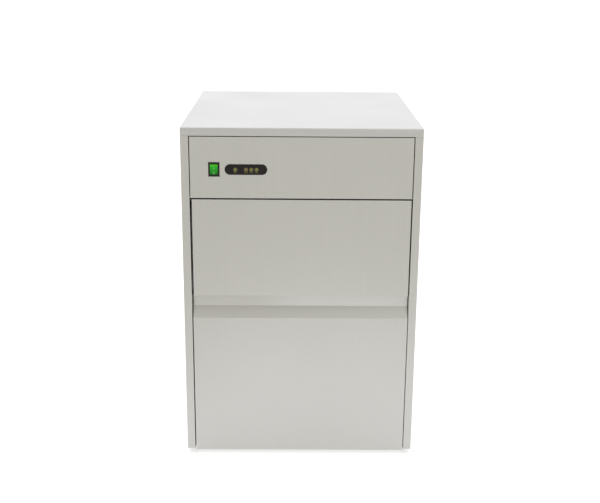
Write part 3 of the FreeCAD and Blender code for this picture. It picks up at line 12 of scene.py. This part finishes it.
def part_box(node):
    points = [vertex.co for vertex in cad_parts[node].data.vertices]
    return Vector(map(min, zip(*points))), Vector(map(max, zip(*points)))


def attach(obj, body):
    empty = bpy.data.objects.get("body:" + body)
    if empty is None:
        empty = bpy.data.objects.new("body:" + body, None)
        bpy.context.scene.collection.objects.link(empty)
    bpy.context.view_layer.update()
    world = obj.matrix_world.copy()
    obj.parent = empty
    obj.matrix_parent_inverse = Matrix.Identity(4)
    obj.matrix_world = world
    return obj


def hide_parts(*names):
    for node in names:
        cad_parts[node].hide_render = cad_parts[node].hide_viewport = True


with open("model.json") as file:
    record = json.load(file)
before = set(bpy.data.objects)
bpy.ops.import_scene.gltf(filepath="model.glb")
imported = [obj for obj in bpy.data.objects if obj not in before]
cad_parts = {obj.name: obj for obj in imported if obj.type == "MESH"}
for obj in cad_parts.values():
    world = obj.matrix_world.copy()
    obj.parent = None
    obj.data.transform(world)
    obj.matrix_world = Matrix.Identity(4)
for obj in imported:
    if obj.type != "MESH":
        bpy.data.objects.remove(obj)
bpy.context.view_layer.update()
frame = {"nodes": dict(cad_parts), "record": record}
nodes = frame["nodes"]
slots = {part["node"]: part["material_slot"] for part in frame["record"]["subparts"]}
mounts = {mount["name"]: mount for mount in frame["record"]["mounts"]}
scene = bpy.context.scene
scene.view_settings.view_transform = "Standard"


# Shader nodes

def feed(tree, socket, source):
    """Gives a socket another node's output, a colour or a number."""
    if isinstance(source, bpy.types.NodeSocket):
        tree.links.new(source, socket)
    elif socket.type == "RGBA":
        socket.default_value = (*source, 1)
    else:
        socket.default_value = source


def add_node(tree, kind, *sources, operation=None, **named):
    """A new node with its inputs fed in order, or by name with _ for a space."""
    made = tree.nodes.new(kind)
    if operation:
        made.operation = operation
    for socket, source in zip(made.inputs, sources):
        feed(tree, socket, source)
    for name, source in named.items():
        feed(tree, made.inputs[name.replace("_", " ")], source)
    return made


def map_range(tree, source, start, end, first=0.0, second=1.0):
    """A value that runs from first to second while the source runs from start to end."""
    made = add_node(tree, "ShaderNodeMapRange", Value=source, From_Min=start, From_Max=end, To_Min=first,
                    To_Max=second)
    return made.outputs["Result"]


def fade(tree, source, start, end, first, second):
    """A colour that runs from first to second while the source runs from start to end."""
    ramp = add_node(tree, "ShaderNodeValToRGB", map_range(tree, source, start, end))
    for stop, colour in zip(ramp.color_ramp.elements, (first, second)):
        stop.color = (*colour, 1)
    return ramp.outputs["Color"]


def combine(tree, operation, first, second):
    """The sum, product or larger of two values, as the operation says."""
    return add_node(tree, "ShaderNodeMath", first, second, operation=operation).outputs["Value"]


def when_seen(tree, *kinds):
    """A value of 1 for rays of the kinds named, and 0 for the rest."""
    path = tree.nodes.new("ShaderNodeLightPath")
    total = path.outputs[kinds[0]]
    for name in kinds[1:]:
        total = combine(tree, "MAXIMUM", total, path.outputs[name])
    return total


# Materials

class Finish:
    """A material in the making, with its node tree and its main shader."""

    def __init__(self, name, **sockets):
        self.material = bpy.data.materials.new(name)
        self.material.use_nodes = True
        self.tree = self.material.node_tree
        self.shader = self.tree.nodes["Principled BSDF"]
        self.place = self.tree.nodes.new("ShaderNodeTexCoord").outputs["Object"]
        for socket, number in sockets.items():
            self.shader.inputs[socket.replace("_", " ")].default_value = number

    def add(self, kind, **named):
        return add_node(self.tree, kind, **named)

    def drive(self, socket, source):
        """Links one of the main shader's sockets to a pattern."""
        self.tree.links.new(source, self.shader.inputs[socket])

    def noise(self, scale, detail=3.0, stretch=(1, 1, 1)):
        """Cloudy values from 0 to 1, drawn out along the axes where stretch is small."""
        place = self.add("ShaderNodeMapping", Vector=self.place, Scale=stretch).outputs["Vector"]
        return self.add("ShaderNodeTexNoise", Vector=place, Scale=scale, Detail=detail).outputs["Fac"]

    def cells(self, scale):
        """One random value for each cell of a foam-like pattern."""
        made = self.add("ShaderNodeTexVoronoi", Vector=self.place, Scale=scale)
        return self.add("ShaderNodeSeparateColor", Color=made.outputs["Color"]).outputs["Red"]

    def span(self, source, low, high):
        """The middle half of a pattern's values, spread from low to high."""
        return map_range(self.tree, source, 0.25, 0.75, low, high)

    def blend(self, source, first, second):
        """A colour between two colours, by a value from 0 to 1."""
        made = self.tree.nodes.new("ShaderNodeMix")
        made.data_type = "RGBA"
        inputs = {socket.identifier: socket for socket in made.inputs}
        outputs = {socket.identifier: socket for socket in made.outputs}
        for socket, given in (("Factor_Float", source), ("A_Color", first), ("B_Color", second)):
            feed(self.tree, inputs[socket], given)
        return outputs["Result_Color"]

    def bump(self, height, strength, depth, below=None):
        """Relief of a height pattern, on top of any relief below it."""
        made = self.add("ShaderNodeBump", Height=height, Strength=strength, Distance=depth)
        if below is not None:
            self.tree.links.new(below, made.inputs["Normal"])
        self.drive("Normal", made.outputs["Normal"])
        return made.outputs["Normal"]


def brushed_steel(name, dark, light, stretch, lean=None):
    """Brushed sheet: fine grain drawn out one way, faint smears, a slight waviness and any lean given."""
    finish = Finish(name, Metallic=1.0)
    grain = finish.noise(scale=1.0, detail=2.0, stretch=stretch)
    smear = finish.noise(scale=6.0, detail=4.0)
    colour = finish.blend(grain, dark, light)
    finish.drive("Base Color", finish.blend(finish.span(smear, 0.0, 0.12), colour, dark))
    streaks = finish.span(grain, 0.31, 0.41)
    finish.drive("Roughness", combine(finish.tree, "ADD", streaks, finish.span(smear, -0.03, 0.03)))
    leaning = finish.bump(lean(finish), strength=1.0, depth=1.0) if lean else None
    wave = finish.bump(finish.noise(scale=2.5, detail=1.0), strength=0.05, depth=0.01, below=leaning)
    finish.bump(grain, strength=0.03, depth=0.0004, below=wave)
    return finish.material


def pull_wall_lean(finish):
    """How far the wall behind the finger pull stands out: it leans back at the left and over elsewhere."""
    wall_foot, reach = 0.3175, 0.1
    turn_start, turn_end, left_lean, right_lean = -0.10, -0.015, -0.09, 0.045
    place = finish.add("ShaderNodeSeparateXYZ", Vector=finish.place).outputs
    lean = map_range(finish.tree, place["X"], turn_start, turn_end, left_lean, right_lean)
    rise = map_range(finish.tree, place["Z"], wall_foot, wall_foot + reach, 0.0, reach)
    return combine(finish.tree, "MULTIPLY", lean, rise)


def zinc_sheet(name, dark, light):
    """Zinc-coated sheet with its crystal spangle."""
    finish = Finish(name, Metallic=0.9)
    spangle = finish.cells(scale=260.0)
    cloud = finish.noise(scale=9.0)
    crystals = finish.blend(spangle, dark, light)
    finish.drive("Base Color", finish.blend(finish.span(cloud, 0, 0.3), crystals, dark))
    finish.drive("Roughness", finish.span(spangle, 0.36, 0.52))
    finish.bump(finish.noise(scale=700.0), strength=0.05, depth=0.0003)
    return finish.material


def moulded(name, dark, light, rough, texture=1500.0, depth=0.00005, clouds=14.0, **sockets):
    """Plastic, rubber or paint: cloudy colour, uneven gloss and a fine surface texture."""
    finish = Finish(name, **sockets)
    cloud = finish.noise(scale=clouds, detail=4.0)
    finish.drive("Base Color", finish.blend(finish.span(cloud, 0.0, 1.0), dark, light))
    finish.drive("Roughness", finish.span(cloud, rough - 0.05, rough + 0.05))
    finish.bump(finish.noise(scale=texture, detail=2.0), strength=0.2, depth=depth)
    return finish.material


def metal(name, dark, light, rough, stretch=(1, 1, 1), clouds=60.0):
    """Bare metal with tarnish clouds and drawn or turned lines."""
    finish = Finish(name, Metallic=1.0)
    cloud = finish.noise(scale=clouds, detail=5.0)
    lines = finish.noise(scale=900.0, detail=2.0, stretch=stretch)
    finish.drive("Base Color", finish.blend(finish.span(cloud, 0.0, 1.0), dark, light))
    finish.drive("Roughness", finish.span(lines, rough - 0.08, rough + 0.08))
    finish.bump(lines, strength=0.08, depth=0.0002)
    return finish.material


def rocker_with_painted_glow(name, low, high):
    """Clear green plastic with a painted glow: a bright band at the top of its colour that fades downwards.
    """
    finish = Finish(name, Roughness=0.3, Specular_IOR_Level=0.22)
    height = finish.add("ShaderNodeSeparateXYZ", Vector=finish.place).outputs["Z"]
    # Painted glow: the colour runs from dark green at the foot of the rocker to bright green near its top
    ramp = finish.add("ShaderNodeValToRGB", Fac=map_range(finish.tree, height, low, high))
    stops = ramp.color_ramp.elements
    stops[0].color, stops[1].color = (0.008, 0.08, 0.008, 1), (0.10, 0.54, 0.03, 1)
    for position, colour in ((0.2, (0.012, 0.22, 0.012, 1)), (0.6, (0.016, 0.37, 0.012, 1)),
                             (0.76, (0.018, 0.40, 0.010, 1)), (0.82, (0.04, 0.54, 0.012, 1))):
        stops.new(position).color = colour
    specks = finish.span(finish.noise(scale=260.0), 0.0, 0.12)
    finish.drive("Base Color", finish.blend(specks, ramp.outputs["Color"], (0.03, 0.45, 0.03)))
    finish.bump(finish.noise(scale=900.0, detail=2.0), strength=0.2, depth=0.00002)
    return finish.material


def circuit_board(name):
    """Solder mask with paler tracks in a grid."""
    finish = Finish(name, Roughness=0.35)
    grid = finish.add("ShaderNodeTexBrick", Vector=finish.place, Scale=160.0, Mortar_Size=0.06,
                      Color1=(0.01, 0.12, 0.03), Color2=(0.01, 0.09, 0.025), Mortar=(0.05, 0.26, 0.08))
    finish.drive("Base Color", grid.outputs["Color"])
    finish.bump(grid.outputs["Fac"], strength=0.2, depth=0.0001)
    return finish.material


def height_range(name):
    """Lowest and highest points of a solid in its own coordinates."""
    heights = [corner.co.z for corner in nodes[name].data.vertices]
    return min(heights), max(heights)


STEEL_DARK, STEEL_LIGHT = (0.50, 0.496, 0.472), (0.56, 0.556, 0.534)
UPRIGHT, ACROSS, DRAWN = (2200, 2200, 5), (5, 2200, 2200), (1, 1, 0.02)
LENS = {"rough": 0.3, "texture": 900.0, "depth": 0.00002, "clouds": 300.0}
PRINT_AND_PAINTED_RIM = {"rough": 0.5, "clouds": 400.0}
finishes = {
    "stainless": brushed_steel("stainless", STEEL_DARK, STEEL_LIGHT, UPRIGHT),
    "zinc_sheet": zinc_sheet("zinc_sheet", (0.46, 0.475, 0.48), (0.56, 0.575, 0.58)),
    "foam": moulded("foam", (0.72, 0.60, 0.36), (0.80, 0.70, 0.46), rough=0.85, texture=400.0,
                    depth=0.0008, clouds=30.0),
    "liner_plastic": moulded("liner_plastic", (0.76, 0.77, 0.77), (0.82, 0.83, 0.83), rough=0.38),
    "black_plastic": moulded("black_plastic", (0.007, 0.007, 0.007), (0.013, 0.013, 0.014), rough=0.42,
                             Specular_IOR_Level=0.25),
    "plate_plastic": moulded("plate_plastic", (0.008, 0.006, 0.006), (0.013, 0.010, 0.011), rough=0.45,
                             Specular_IOR_Level=0.22),
    "rubber": moulded("rubber", (0.012, 0.012, 0.012), (0.028, 0.027, 0.026), rough=0.75,
                      texture=900.0, depth=0.0002),
    "gasket_rubber": moulded("gasket_rubber", (0.24, 0.24, 0.245), (0.31, 0.31, 0.315), rough=0.6),
    "bright_steel": metal("bright_steel", (0.48, 0.48, 0.47), (0.60, 0.60, 0.59), rough=0.3),
    "nylon": moulded("nylon", (0.72, 0.70, 0.62), (0.80, 0.78, 0.70), rough=0.45),
    "green_rocker": rocker_with_painted_glow("green_rocker", *height_range("switch_rocker")),
    "green_lens": moulded("green_lens", (0.13, 0.135, 0.02), (0.18, 0.18, 0.04), **LENS),
    "amber_lens": moulded("amber_lens", (0.17, 0.095, 0.03), (0.22, 0.13, 0.05), **LENS),
    "circuit_board": circuit_board("circuit_board"),
    "hose": moulded("hose", (0.55, 0.55, 0.52), (0.68, 0.68, 0.65), rough=0.5, texture=500.0, depth=0.0001),
    "plated_copper": metal("plated_copper", (0.52, 0.50, 0.47), (0.66, 0.65, 0.62), rough=0.22,
                           stretch=DRAWN),
    "copper": metal("copper", (0.42, 0.17, 0.09), (0.62, 0.29, 0.17), rough=0.32,
                    stretch=(0.05, 0.05, 0.05), clouds=25.0),
    "black_paint": moulded("black_paint", (0.008, 0.008, 0.008), (0.016, 0.016, 0.017), rough=0.32,
                           texture=350.0, depth=0.0003),
    "aluminium": metal("aluminium", (0.52, 0.53, 0.54), (0.66, 0.67, 0.68), rough=0.38, stretch=DRAWN),
    "fan_plastic": moulded("fan_plastic", (0.015, 0.015, 0.016), (0.028, 0.028, 0.030), rough=0.5),
    "valve_plastic": moulded("valve_plastic", (0.62, 0.63, 0.65), (0.72, 0.73, 0.75), rough=0.45),
}
own_finishes = {
    "top_cover": brushed_steel("lid_stainless", (0.50, 0.499, 0.488), (0.56, 0.559, 0.548), ACROSS),
    "lower_front_panel": brushed_steel("panel_stainless", STEEL_DARK, STEEL_LIGHT, UPRIGHT, pull_wall_lean),
    # Painted shade: the pivot pins are near-black so that they read as the dark door gap they stand in
    "door_pivot_pins": metal("pin_steel_painted_gap_shade", (0.010, 0.010, 0.010), (0.018, 0.018, 0.019), rough=0.45),
}
pale_print = moulded("pale_print", (0.15, 0.56, 0.13), (0.21, 0.66, 0.18), **PRINT_AND_PAINTED_RIM)
# Painted highlight: a pale yellow-green ring that stands in for each lamp's lit rim
lamp_rim_painted_highlight = moulded("lamp_rim_painted_highlight", (0.27, 0.265, 0.09), (0.33, 0.325, 0.12), **PRINT_AND_PAINTED_RIM)
yellow_print = moulded("yellow_print", (0.12, 0.11, 0.003), (0.17, 0.155, 0.006), **PRINT_AND_PAINTED_RIM)

for name, item in nodes.items():
    item.data.materials.clear()
    item.data.materials.append(own_finishes.get(name, finishes[slots[name]]))


# Pieces

def piece(name, mesh_data, body, finish, smooth_angle=35):
    """Makes an object of a bmesh and lets it ride on a body."""
    bmesh.ops.recalc_face_normals(mesh_data, faces=mesh_data.faces)
    mesh = bpy.data.meshes.new(name)
    mesh_data.to_mesh(mesh)
    mesh_data.free()
    made = bpy.data.objects.new(name, mesh)
    scene.collection.objects.link(made)
    mesh.shade_smooth()
    mesh.set_sharp_from_angle(angle=math.radians(smooth_angle))
    mesh.materials.append(finish)
    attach(made, body)
    return made


def bridge(mesh_data, rings, closed_along=False):
    """Quads between neighbouring rings of vertices; each ring is closed."""
    pairs = list(zip(rings, rings[1:])) + ([(rings[-1], rings[0])] if closed_along else [])
    for first, second in pairs:
        count = len(first)
        for i in range(count):
            j = (i + 1) % count
            mesh_data.faces.new((first[i], first[j], second[j], second[i]))


def cross_screw(mesh_data, at, radius, height, turned):
    """A pan head that faces +y, with a cross recess sunk into it."""
    arm, slit, depth = 0.62 * radius, 0.16 * radius, 0.55 * height
    corners = []
    for quarter in range(4):
        turn = Matrix.Rotation(turned + quarter * math.pi / 2, 2)
        corners += [turn @ Vector(point) for point in ((slit, -slit), (arm, -slit), (arm, slit))]
    rings = [[] for _ in range(6)]
    for corner in corners:
        outward = corner.normalized()
        for ring, (spot, rise) in zip(rings, (
                (corner * 0.8, height - depth), (corner, height), (outward * radius * 0.8, height * 0.93),
                (outward * radius * 0.95, height * 0.72), (outward * radius, height * 0.4),
                (outward * radius, 0.0))):
            ring.append(mesh_data.verts.new((at[0] + spot.x, at[1] + rise, at[2] + spot.y)))
    bridge(mesh_data, rings)
    mesh_data.faces.new(rings[0])
    mesh_data.faces.new(rings[-1])


def make_rear_screws():
    """Screws through the side panels' rear flanges and the lid's rear skirt."""
    edge, margin, rows = 0.009, 0.04, 5
    lid_places = (-0.15, 0.0, 0.15)
    head_radius, head_height, turn_step = 0.0036, 0.0022, 0.7
    low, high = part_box("left_side_panel")
    lid_low, lid_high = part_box("top_cover")
    column = abs(low.x) - edge
    heights = [low.z + margin + (high.z - low.z - 2 * margin) * i / (rows - 1) for i in range(rows)]
    spots = [(side * column, high.y, z) for side in (-1, 1) for z in heights]
    spots += [(x, lid_high.y, (lid_low.z + lid_high.z) / 2) for x in lid_places]
    shape = bmesh.new()
    for i, spot in enumerate(spots):
        cross_screw(shape, spot, head_radius, head_height, turn_step * i)
    piece("rear_screws", shape, "cabinet", finishes["bright_steel"])


def make_gasket():
    """The door seal as a folded bellows with a flat sealing face, mitred at its corners."""
    low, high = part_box("door_gasket")
    reach = high.y - low.y
    # Distance from the outer edge in millimetres, and share of the reach
    profile = [(0.0, 0.0), (0.0, 0.16), (0.9, 0.24), (1.0, 0.34), (0.5, 0.46), (0.6, 0.58), (1.5, 0.66),
               (1.4, 0.78), (1.7, 0.93), (2.4, 1.0), (4.9, 0.985), (5.1, 0.985), (7.6, 1.0), (8.3, 0.93),
               (8.6, 0.78), (8.5, 0.66), (9.4, 0.58), (9.5, 0.46), (9.0, 0.34), (9.1, 0.24), (10.0, 0.16),
               (10.0, 0.0)]
    shape = bmesh.new()
    rings = []
    for side_x, side_z in ((-1, -1), (1, -1), (1, 1), (-1, 1)):
        ring = []
        for inset, rise in profile:
            inset /= 1000
            x = high.x - inset if side_x > 0 else low.x + inset
            z = high.z - inset if side_z > 0 else low.z + inset
            ring.append(shape.verts.new((x, low.y + rise * reach, z)))
        rings.append(ring)
    bridge(shape, rings, closed_along=True)
    made = piece("door_seal", shape, "door", finishes["gasket_rubber"], 60)
    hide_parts("door_gasket")


def make_inlet_thread():
    """The hose thread on the water inlet: a ridge that winds along the spout and fades out at both ends."""
    spout = mounts["water_inlet"]
    centre_x, _, centre_z = spout["pos_m"]
    radius = spout["dims"]["r_mm"] / 1000
    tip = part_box("water_inlet_valve")[1].y
    start, end = tip - 0.0115, tip - 0.0012
    pitch, rise, least_rise, sink = 0.001814, 0.00055, 0.00005, 0.0002
    half_foot, half_crest = 0.00062, 0.000124
    per_turn, fade_steps = 48, 24
    count = int((end - start) / pitch * per_turn)
    shape = bmesh.new()
    rings = []
    for i in range(count + 1):
        angle = 2 * math.pi * i / per_turn
        y = start + pitch * i / per_turn
        tall = rise * min(1.0, i / fade_steps, (count - i) / fade_steps) + least_rise
        ring = []
        for out, shift in ((-sink, -half_foot), (tall, -half_crest), (tall, half_crest), (-sink, half_foot)):
            ring.append(shape.verts.new((centre_x + (radius + out) * math.cos(angle), y + shift,
                                         centre_z + (radius + out) * math.sin(angle))))
        rings.append(ring)
    bridge(shape, rings)
    shape.faces.new(rings[0])
    shape.faces.new(rings[-1])
    piece("inlet_thread", shape, "cabinet", finishes["valve_plastic"], 50)


def probe_of(name):
    """A function that gives the point where a line from a start meets a solid."""
    mesh = nodes[name].data
    tree = BVHTree.FromPolygons([corner.co.copy() for corner in mesh.vertices],
                                [tuple(face.vertices) for face in mesh.polygons])

    def probe(start, way):
        return tree.ray_cast(Vector(start), Vector(way))[0]

    return probe


def surface_of(name):
    """The front surface of a solid, to set marks on."""
    probe = probe_of(name)

    def front(x, z):
        return probe((x, -1.0, z), (0, 1, 0)).y

    return front


def make_coving():
    """Rounded inner corners of the moulded bin: around its floor, up its rear and, to the sill, its front."""
    radius, sink, steps = 0.014, 0.0002, 8
    probe = probe_of("bin_liner")
    # A point in the bin beside its middle plane, where edges of the mesh may lie
    inside, above_sill, into_sill = (0.013, -0.04, 0.3), 0.45, 0.01
    left, right = probe(inside, (-1, 0, 0)).x, probe(inside, (1, 0, 0)).x
    front, rear = probe(inside, (0, -1, 0)).y, probe(inside, (0, 1, 0)).y
    floor = probe(inside, (0, 0, -1)).z
    sill = probe((inside[0], front - into_sill, above_sill), (0, 0, -1)).z
    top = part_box("bin_liner")[1].z
    near, far = front + radius, rear - radius
    corners = ((left + radius, near, math.pi, sill), (right - radius, near, 1.5 * math.pi, sill),
               (right - radius, far, 0.0, top), (left + radius, far, 0.5 * math.pi, top))

    def arc(corner, reach, square=False):
        points = []
        for i in range(steps + 1):
            angle = corner[2] + i * math.pi / 2 / steps
            c, s = math.cos(angle), math.sin(angle)
            scale = reach / max(abs(c), abs(s)) if square else reach
            points.append((corner[0] + scale * c, corner[1] + scale * s))
        return points

    shape = bmesh.new()

    def ring(z, reach, square=False):
        return [shape.verts.new((x, y, z)) for corner in corners for x, y in arc(corner, reach, square)]

    turns = [math.radians(10 * i) for i in range(1, 10)]
    rings = [ring(floor - sink, radius * math.sin(turns[0]))]
    rings += [ring(floor + radius * (1 - math.cos(turn)), radius * math.sin(turn)) for turn in turns]
    rings += [ring(z, radius + sink, True) for z in (floor + radius, floor - sink)]
    bridge(shape, rings, closed_along=True)
    for corner in corners:
        inner, outer = arc(corner, radius), arc(corner, radius + sink, True)
        ends = []
        for z in (floor + radius - 0.001, corner[3] - sink):
            ends.append([[shape.verts.new((x, y, z)) for x, y in line] for line in (inner, outer)])
        bridge(shape, [curve + square[::-1] for curve, square in ends])
        for curve, square in ends:
            for i in range(steps):
                shape.faces.new((curve[i], curve[i + 1], square[i + 1], square[i]))
    piece("bin_coving", shape, "cabinet", finishes["liner_plastic"])


def flat_mark(shape, outline, front, hole=None):
    """A thin mark that follows the surface under it; a hole makes it a ring."""
    thickness, sink = 0.0001, 0.00005
    loops = [outline] if hole is None else [outline, hole]
    faces, backs = [], []
    for loop in loops:
        faces.append([shape.verts.new((x, front(x, z) - thickness, z)) for x, z in loop])
        backs.append([shape.verts.new((x, front(x, z) + sink, z)) for x, z in loop])
    for face, back in zip(faces, backs):
        bridge(shape, [face, back])
    if hole is None:
        shape.faces.new(faces[0])
        shape.faces.new(backs[0])
    else:
        bridge(shape, [faces[0], faces[1]])
        bridge(shape, [backs[0], backs[1]])


def oval(x, z, half_x, half_z, count=24, power=2.0):
    """Points around an oval; a larger power makes it squarer."""
    points = []
    for i in range(count):
        angle = 2 * math.pi * i / count
        c, s = math.cos(angle), math.sin(angle)
        points.append((x + half_x * math.copysign(abs(c) ** (2 / power), c),
                       z + half_z * math.copysign(abs(s) ** (2 / power), s)))
    return points


def control_height():
    """Height of the row of controls."""
    low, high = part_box("indicator_plate")
    return (low.z + high.z) / 2


def make_rocker_marks():
    """A bar and a ring in pale print, for on and off."""
    low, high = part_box("switch_housing")
    x, z = (low.x + high.x) / 2, control_height()
    bar_z, bar_half_x, bar_half_z = z + 0.0022, 0.0007, 0.0021
    ring_z, ring_half_x, ring_half_z, ring_line = z - 0.0064, 0.0018, 0.0022, 0.0007
    front = surface_of("switch_rocker")
    shape = bmesh.new()
    flat_mark(shape, oval(x, bar_z, bar_half_x, bar_half_z, power=4.0), front)
    flat_mark(shape, oval(x, ring_z, ring_half_x, ring_half_z), front,
              hole=oval(x, ring_z, ring_half_x - ring_line, ring_half_z - ring_line))
    piece("rocker_marks", shape, "rocker", pale_print)


def make_plate_marks():
    """A pale ring around each lamp, a painted highlight for its lit rim, and three plain dashes below it."""
    lamp_places = (-0.02, 0.0, 0.01, 0.02)
    ring_outer, ring_inner = 0.0035, 0.0029
    dash_drop, dash_half_height = 0.0056, 0.0006
    dash_shifts_and_halves = ((-0.0023, 0.0007), (0.0, 0.0011), (0.0024, 0.0008))
    front = surface_of("indicator_plate")
    low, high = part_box("indicator_plate")
    z = control_height()
    rings, dashes = bmesh.new(), bmesh.new()
    for place in lamp_places:
        x = (low.x + high.x) / 2 + place
        # Painted highlight: the pale ring around the lamp
        flat_mark(rings, oval(x, z, ring_outer, ring_outer), front, hole=oval(x, z, ring_inner, ring_inner))
        for shift, half in dash_shifts_and_halves:
            outline = oval(x + shift, z - dash_drop, half, dash_half_height, count=16, power=5.0)
            flat_mark(dashes, outline, front)
    piece("lamp_rings", rings, "cabinet", lamp_rim_painted_highlight)
    piece("plate_marks", dashes, "cabinet", yellow_print)


make_rear_screws()
make_gasket()
make_inlet_thread()
make_coving()
make_rocker_marks()
make_plate_marks()


# Stage, light and camera

def make_floor():
    """A white floor; mirrored in the steel it is brightest close to the machine and a little to its right."""
    half_width = 9.0
    white, seen_glow = (0.86, 0.86, 0.86), (0.5, 0.5, 0.5)
    near_glow, far_glow = (0.425, 0.425, 0.45), (0.075, 0.07, 0.03)
    near, far = 0.86, 1.36
    narrowing, shift = (2.0, 1.0, 1.0), (-0.14, 0.0, 0.0)
    shape = bmesh.new()
    bmesh.ops.create_grid(shape, x_segments=8, y_segments=8, size=half_width)
    mesh = bpy.data.meshes.new("floor")
    shape.to_mesh(mesh)
    shape.free()
    floor = bpy.data.objects.new("floor", mesh)
    scene.collection.objects.link(floor)
    material = bpy.data.materials.new("floor")
    material.use_nodes = True
    tree = material.node_tree
    tree.nodes.remove(tree.nodes["Principled BSDF"])
    total = add_node(tree, "ShaderNodeBsdfDiffuse", Color=white).outputs["BSDF"]
    position = tree.nodes.new("ShaderNodeNewGeometry").outputs["Position"]
    place = add_node(tree, "ShaderNodeVectorMath", position, narrowing, shift,
                     operation="MULTIPLY_ADD").outputs["Vector"]
    distance = add_node(tree, "ShaderNodeVectorMath", place, operation="LENGTH").outputs["Value"]
    mirrored_glow = fade(tree, distance, near, far, near_glow, far_glow)
    for colour, kinds in ((seen_glow, ("Is Camera Ray", "Is Transmission Ray")),
                          (mirrored_glow, ("Is Glossy Ray",))):
        glow = add_node(tree, "ShaderNodeEmission", Color=colour, Strength=when_seen(tree, *kinds))
        total = add_node(tree, "ShaderNodeAddShader", total, glow.outputs["Emission"]).outputs["Shader"]
    tree.links.new(total, tree.nodes["Material Output"].inputs["Surface"])
    mesh.materials.append(material)


def make_world():
    """A white room; in the steel it is a little warmer in front than behind and dimmer high up in front."""
    front_tint, rear_tint = (1.0, 0.98, 0.92), (0.975, 0.98, 1.0)
    tint_half_width = 0.3
    dim_way, dim_rim, dim_core, dimmest, matt_level = (0.0, -0.72, 0.69), 0.76, 0.98, 0.55, 0.75
    world = bpy.data.worlds.new("studio")
    world.use_nodes = True
    scene.world = world
    tree = world.node_tree
    way = tree.nodes.new("ShaderNodeTexCoord").outputs["Generated"]
    depth = add_node(tree, "ShaderNodeSeparateXYZ", way).outputs["Y"]
    near_dim_way = add_node(tree, "ShaderNodeVectorMath", way, dim_way, operation="DOT_PRODUCT")
    mirrored_level = map_range(tree, near_dim_way.outputs["Value"], dim_rim, dim_core, 1.0, dimmest)
    level = map_range(tree, when_seen(tree, "Is Glossy Ray"), 0.0, 1.0, matt_level, mirrored_level)
    room = tree.nodes["Background"]
    tint = fade(tree, depth, -tint_half_width, tint_half_width, front_tint, rear_tint)
    feed(tree, room.inputs["Color"], tint)
    feed(tree, room.inputs["Strength"], level)
    plain = add_node(tree, "ShaderNodeBackground", Color=(1, 1, 1))
    both = add_node(tree, "ShaderNodeMixShader", when_seen(tree, "Is Camera Ray", "Is Transmission Ray"),
                    room.outputs["Background"], plain.outputs["Background"])
    tree.links.new(both.outputs["Shader"], tree.nodes["World Output"].inputs["Surface"])


def softbox(name, place, target, width, height, radiance):
    """A rectangular lamp of even brightness, aimed at a point and not seen itself."""
    light = bpy.data.lights.new(name, "AREA")
    light.shape = "RECTANGLE"
    light.size, light.size_y = width, height
    light.energy = radiance * math.pi * width * height
    lamp = bpy.data.objects.new(name, light)
    lamp.location = place
    aim = Vector(target) - Vector(place)
    lamp.rotation_euler = aim.to_track_quat("-Z", "Y").to_euler()
    lamp.visible_camera = False
    scene.collection.objects.link(lamp)


def make_camera():
    """The photograph's viewpoint, slightly right-turned and rolled."""
    place, lens, sensor = (-0.01742, -2.12127, 0.98662), 60.423, 36
    pitch, yaw, roll = 0.2897, 0.0084, 0.0081
    forward = Vector((math.sin(yaw) * math.cos(pitch), math.cos(yaw) * math.cos(pitch), -math.sin(pitch)))
    level = Vector((math.cos(yaw), -math.sin(yaw), 0))
    upward = level.cross(forward)
    right = math.cos(roll) * level + math.sin(roll) * upward
    up = -math.sin(roll) * level + math.cos(roll) * upward
    data = bpy.data.cameras.new("camera")
    data.sensor_width = sensor
    data.lens = lens
    camera = bpy.data.objects.new("camera", data)
    turn = Matrix((right, up, -forward)).transposed().to_4x4()
    camera.matrix_world = Matrix.Translation(place) @ turn
    scene.collection.objects.link(camera)
    scene.camera = camera


make_floor()
make_world()
softbox("overhead", (0.0, -0.3, 2.6), (0.0, -0.1, 0.3), width=2.4, height=2.0, radiance=0.9)
softbox("behind", (0.0, 3.0, 1.7), (0.0, 0.0, 0.6), width=4.0, height=2.2, radiance=0.45)
softbox("front_right", (1.2, -3.0, 1.9), (0.0, 0.0, 0.4), width=2.4, height=1.8, radiance=0.8)
softbox("front_left", (-1.4, -3.0, 1.9), (0.0, 0.0, 0.4), width=2.4, height=1.8, radiance=0.4)
make_camera()
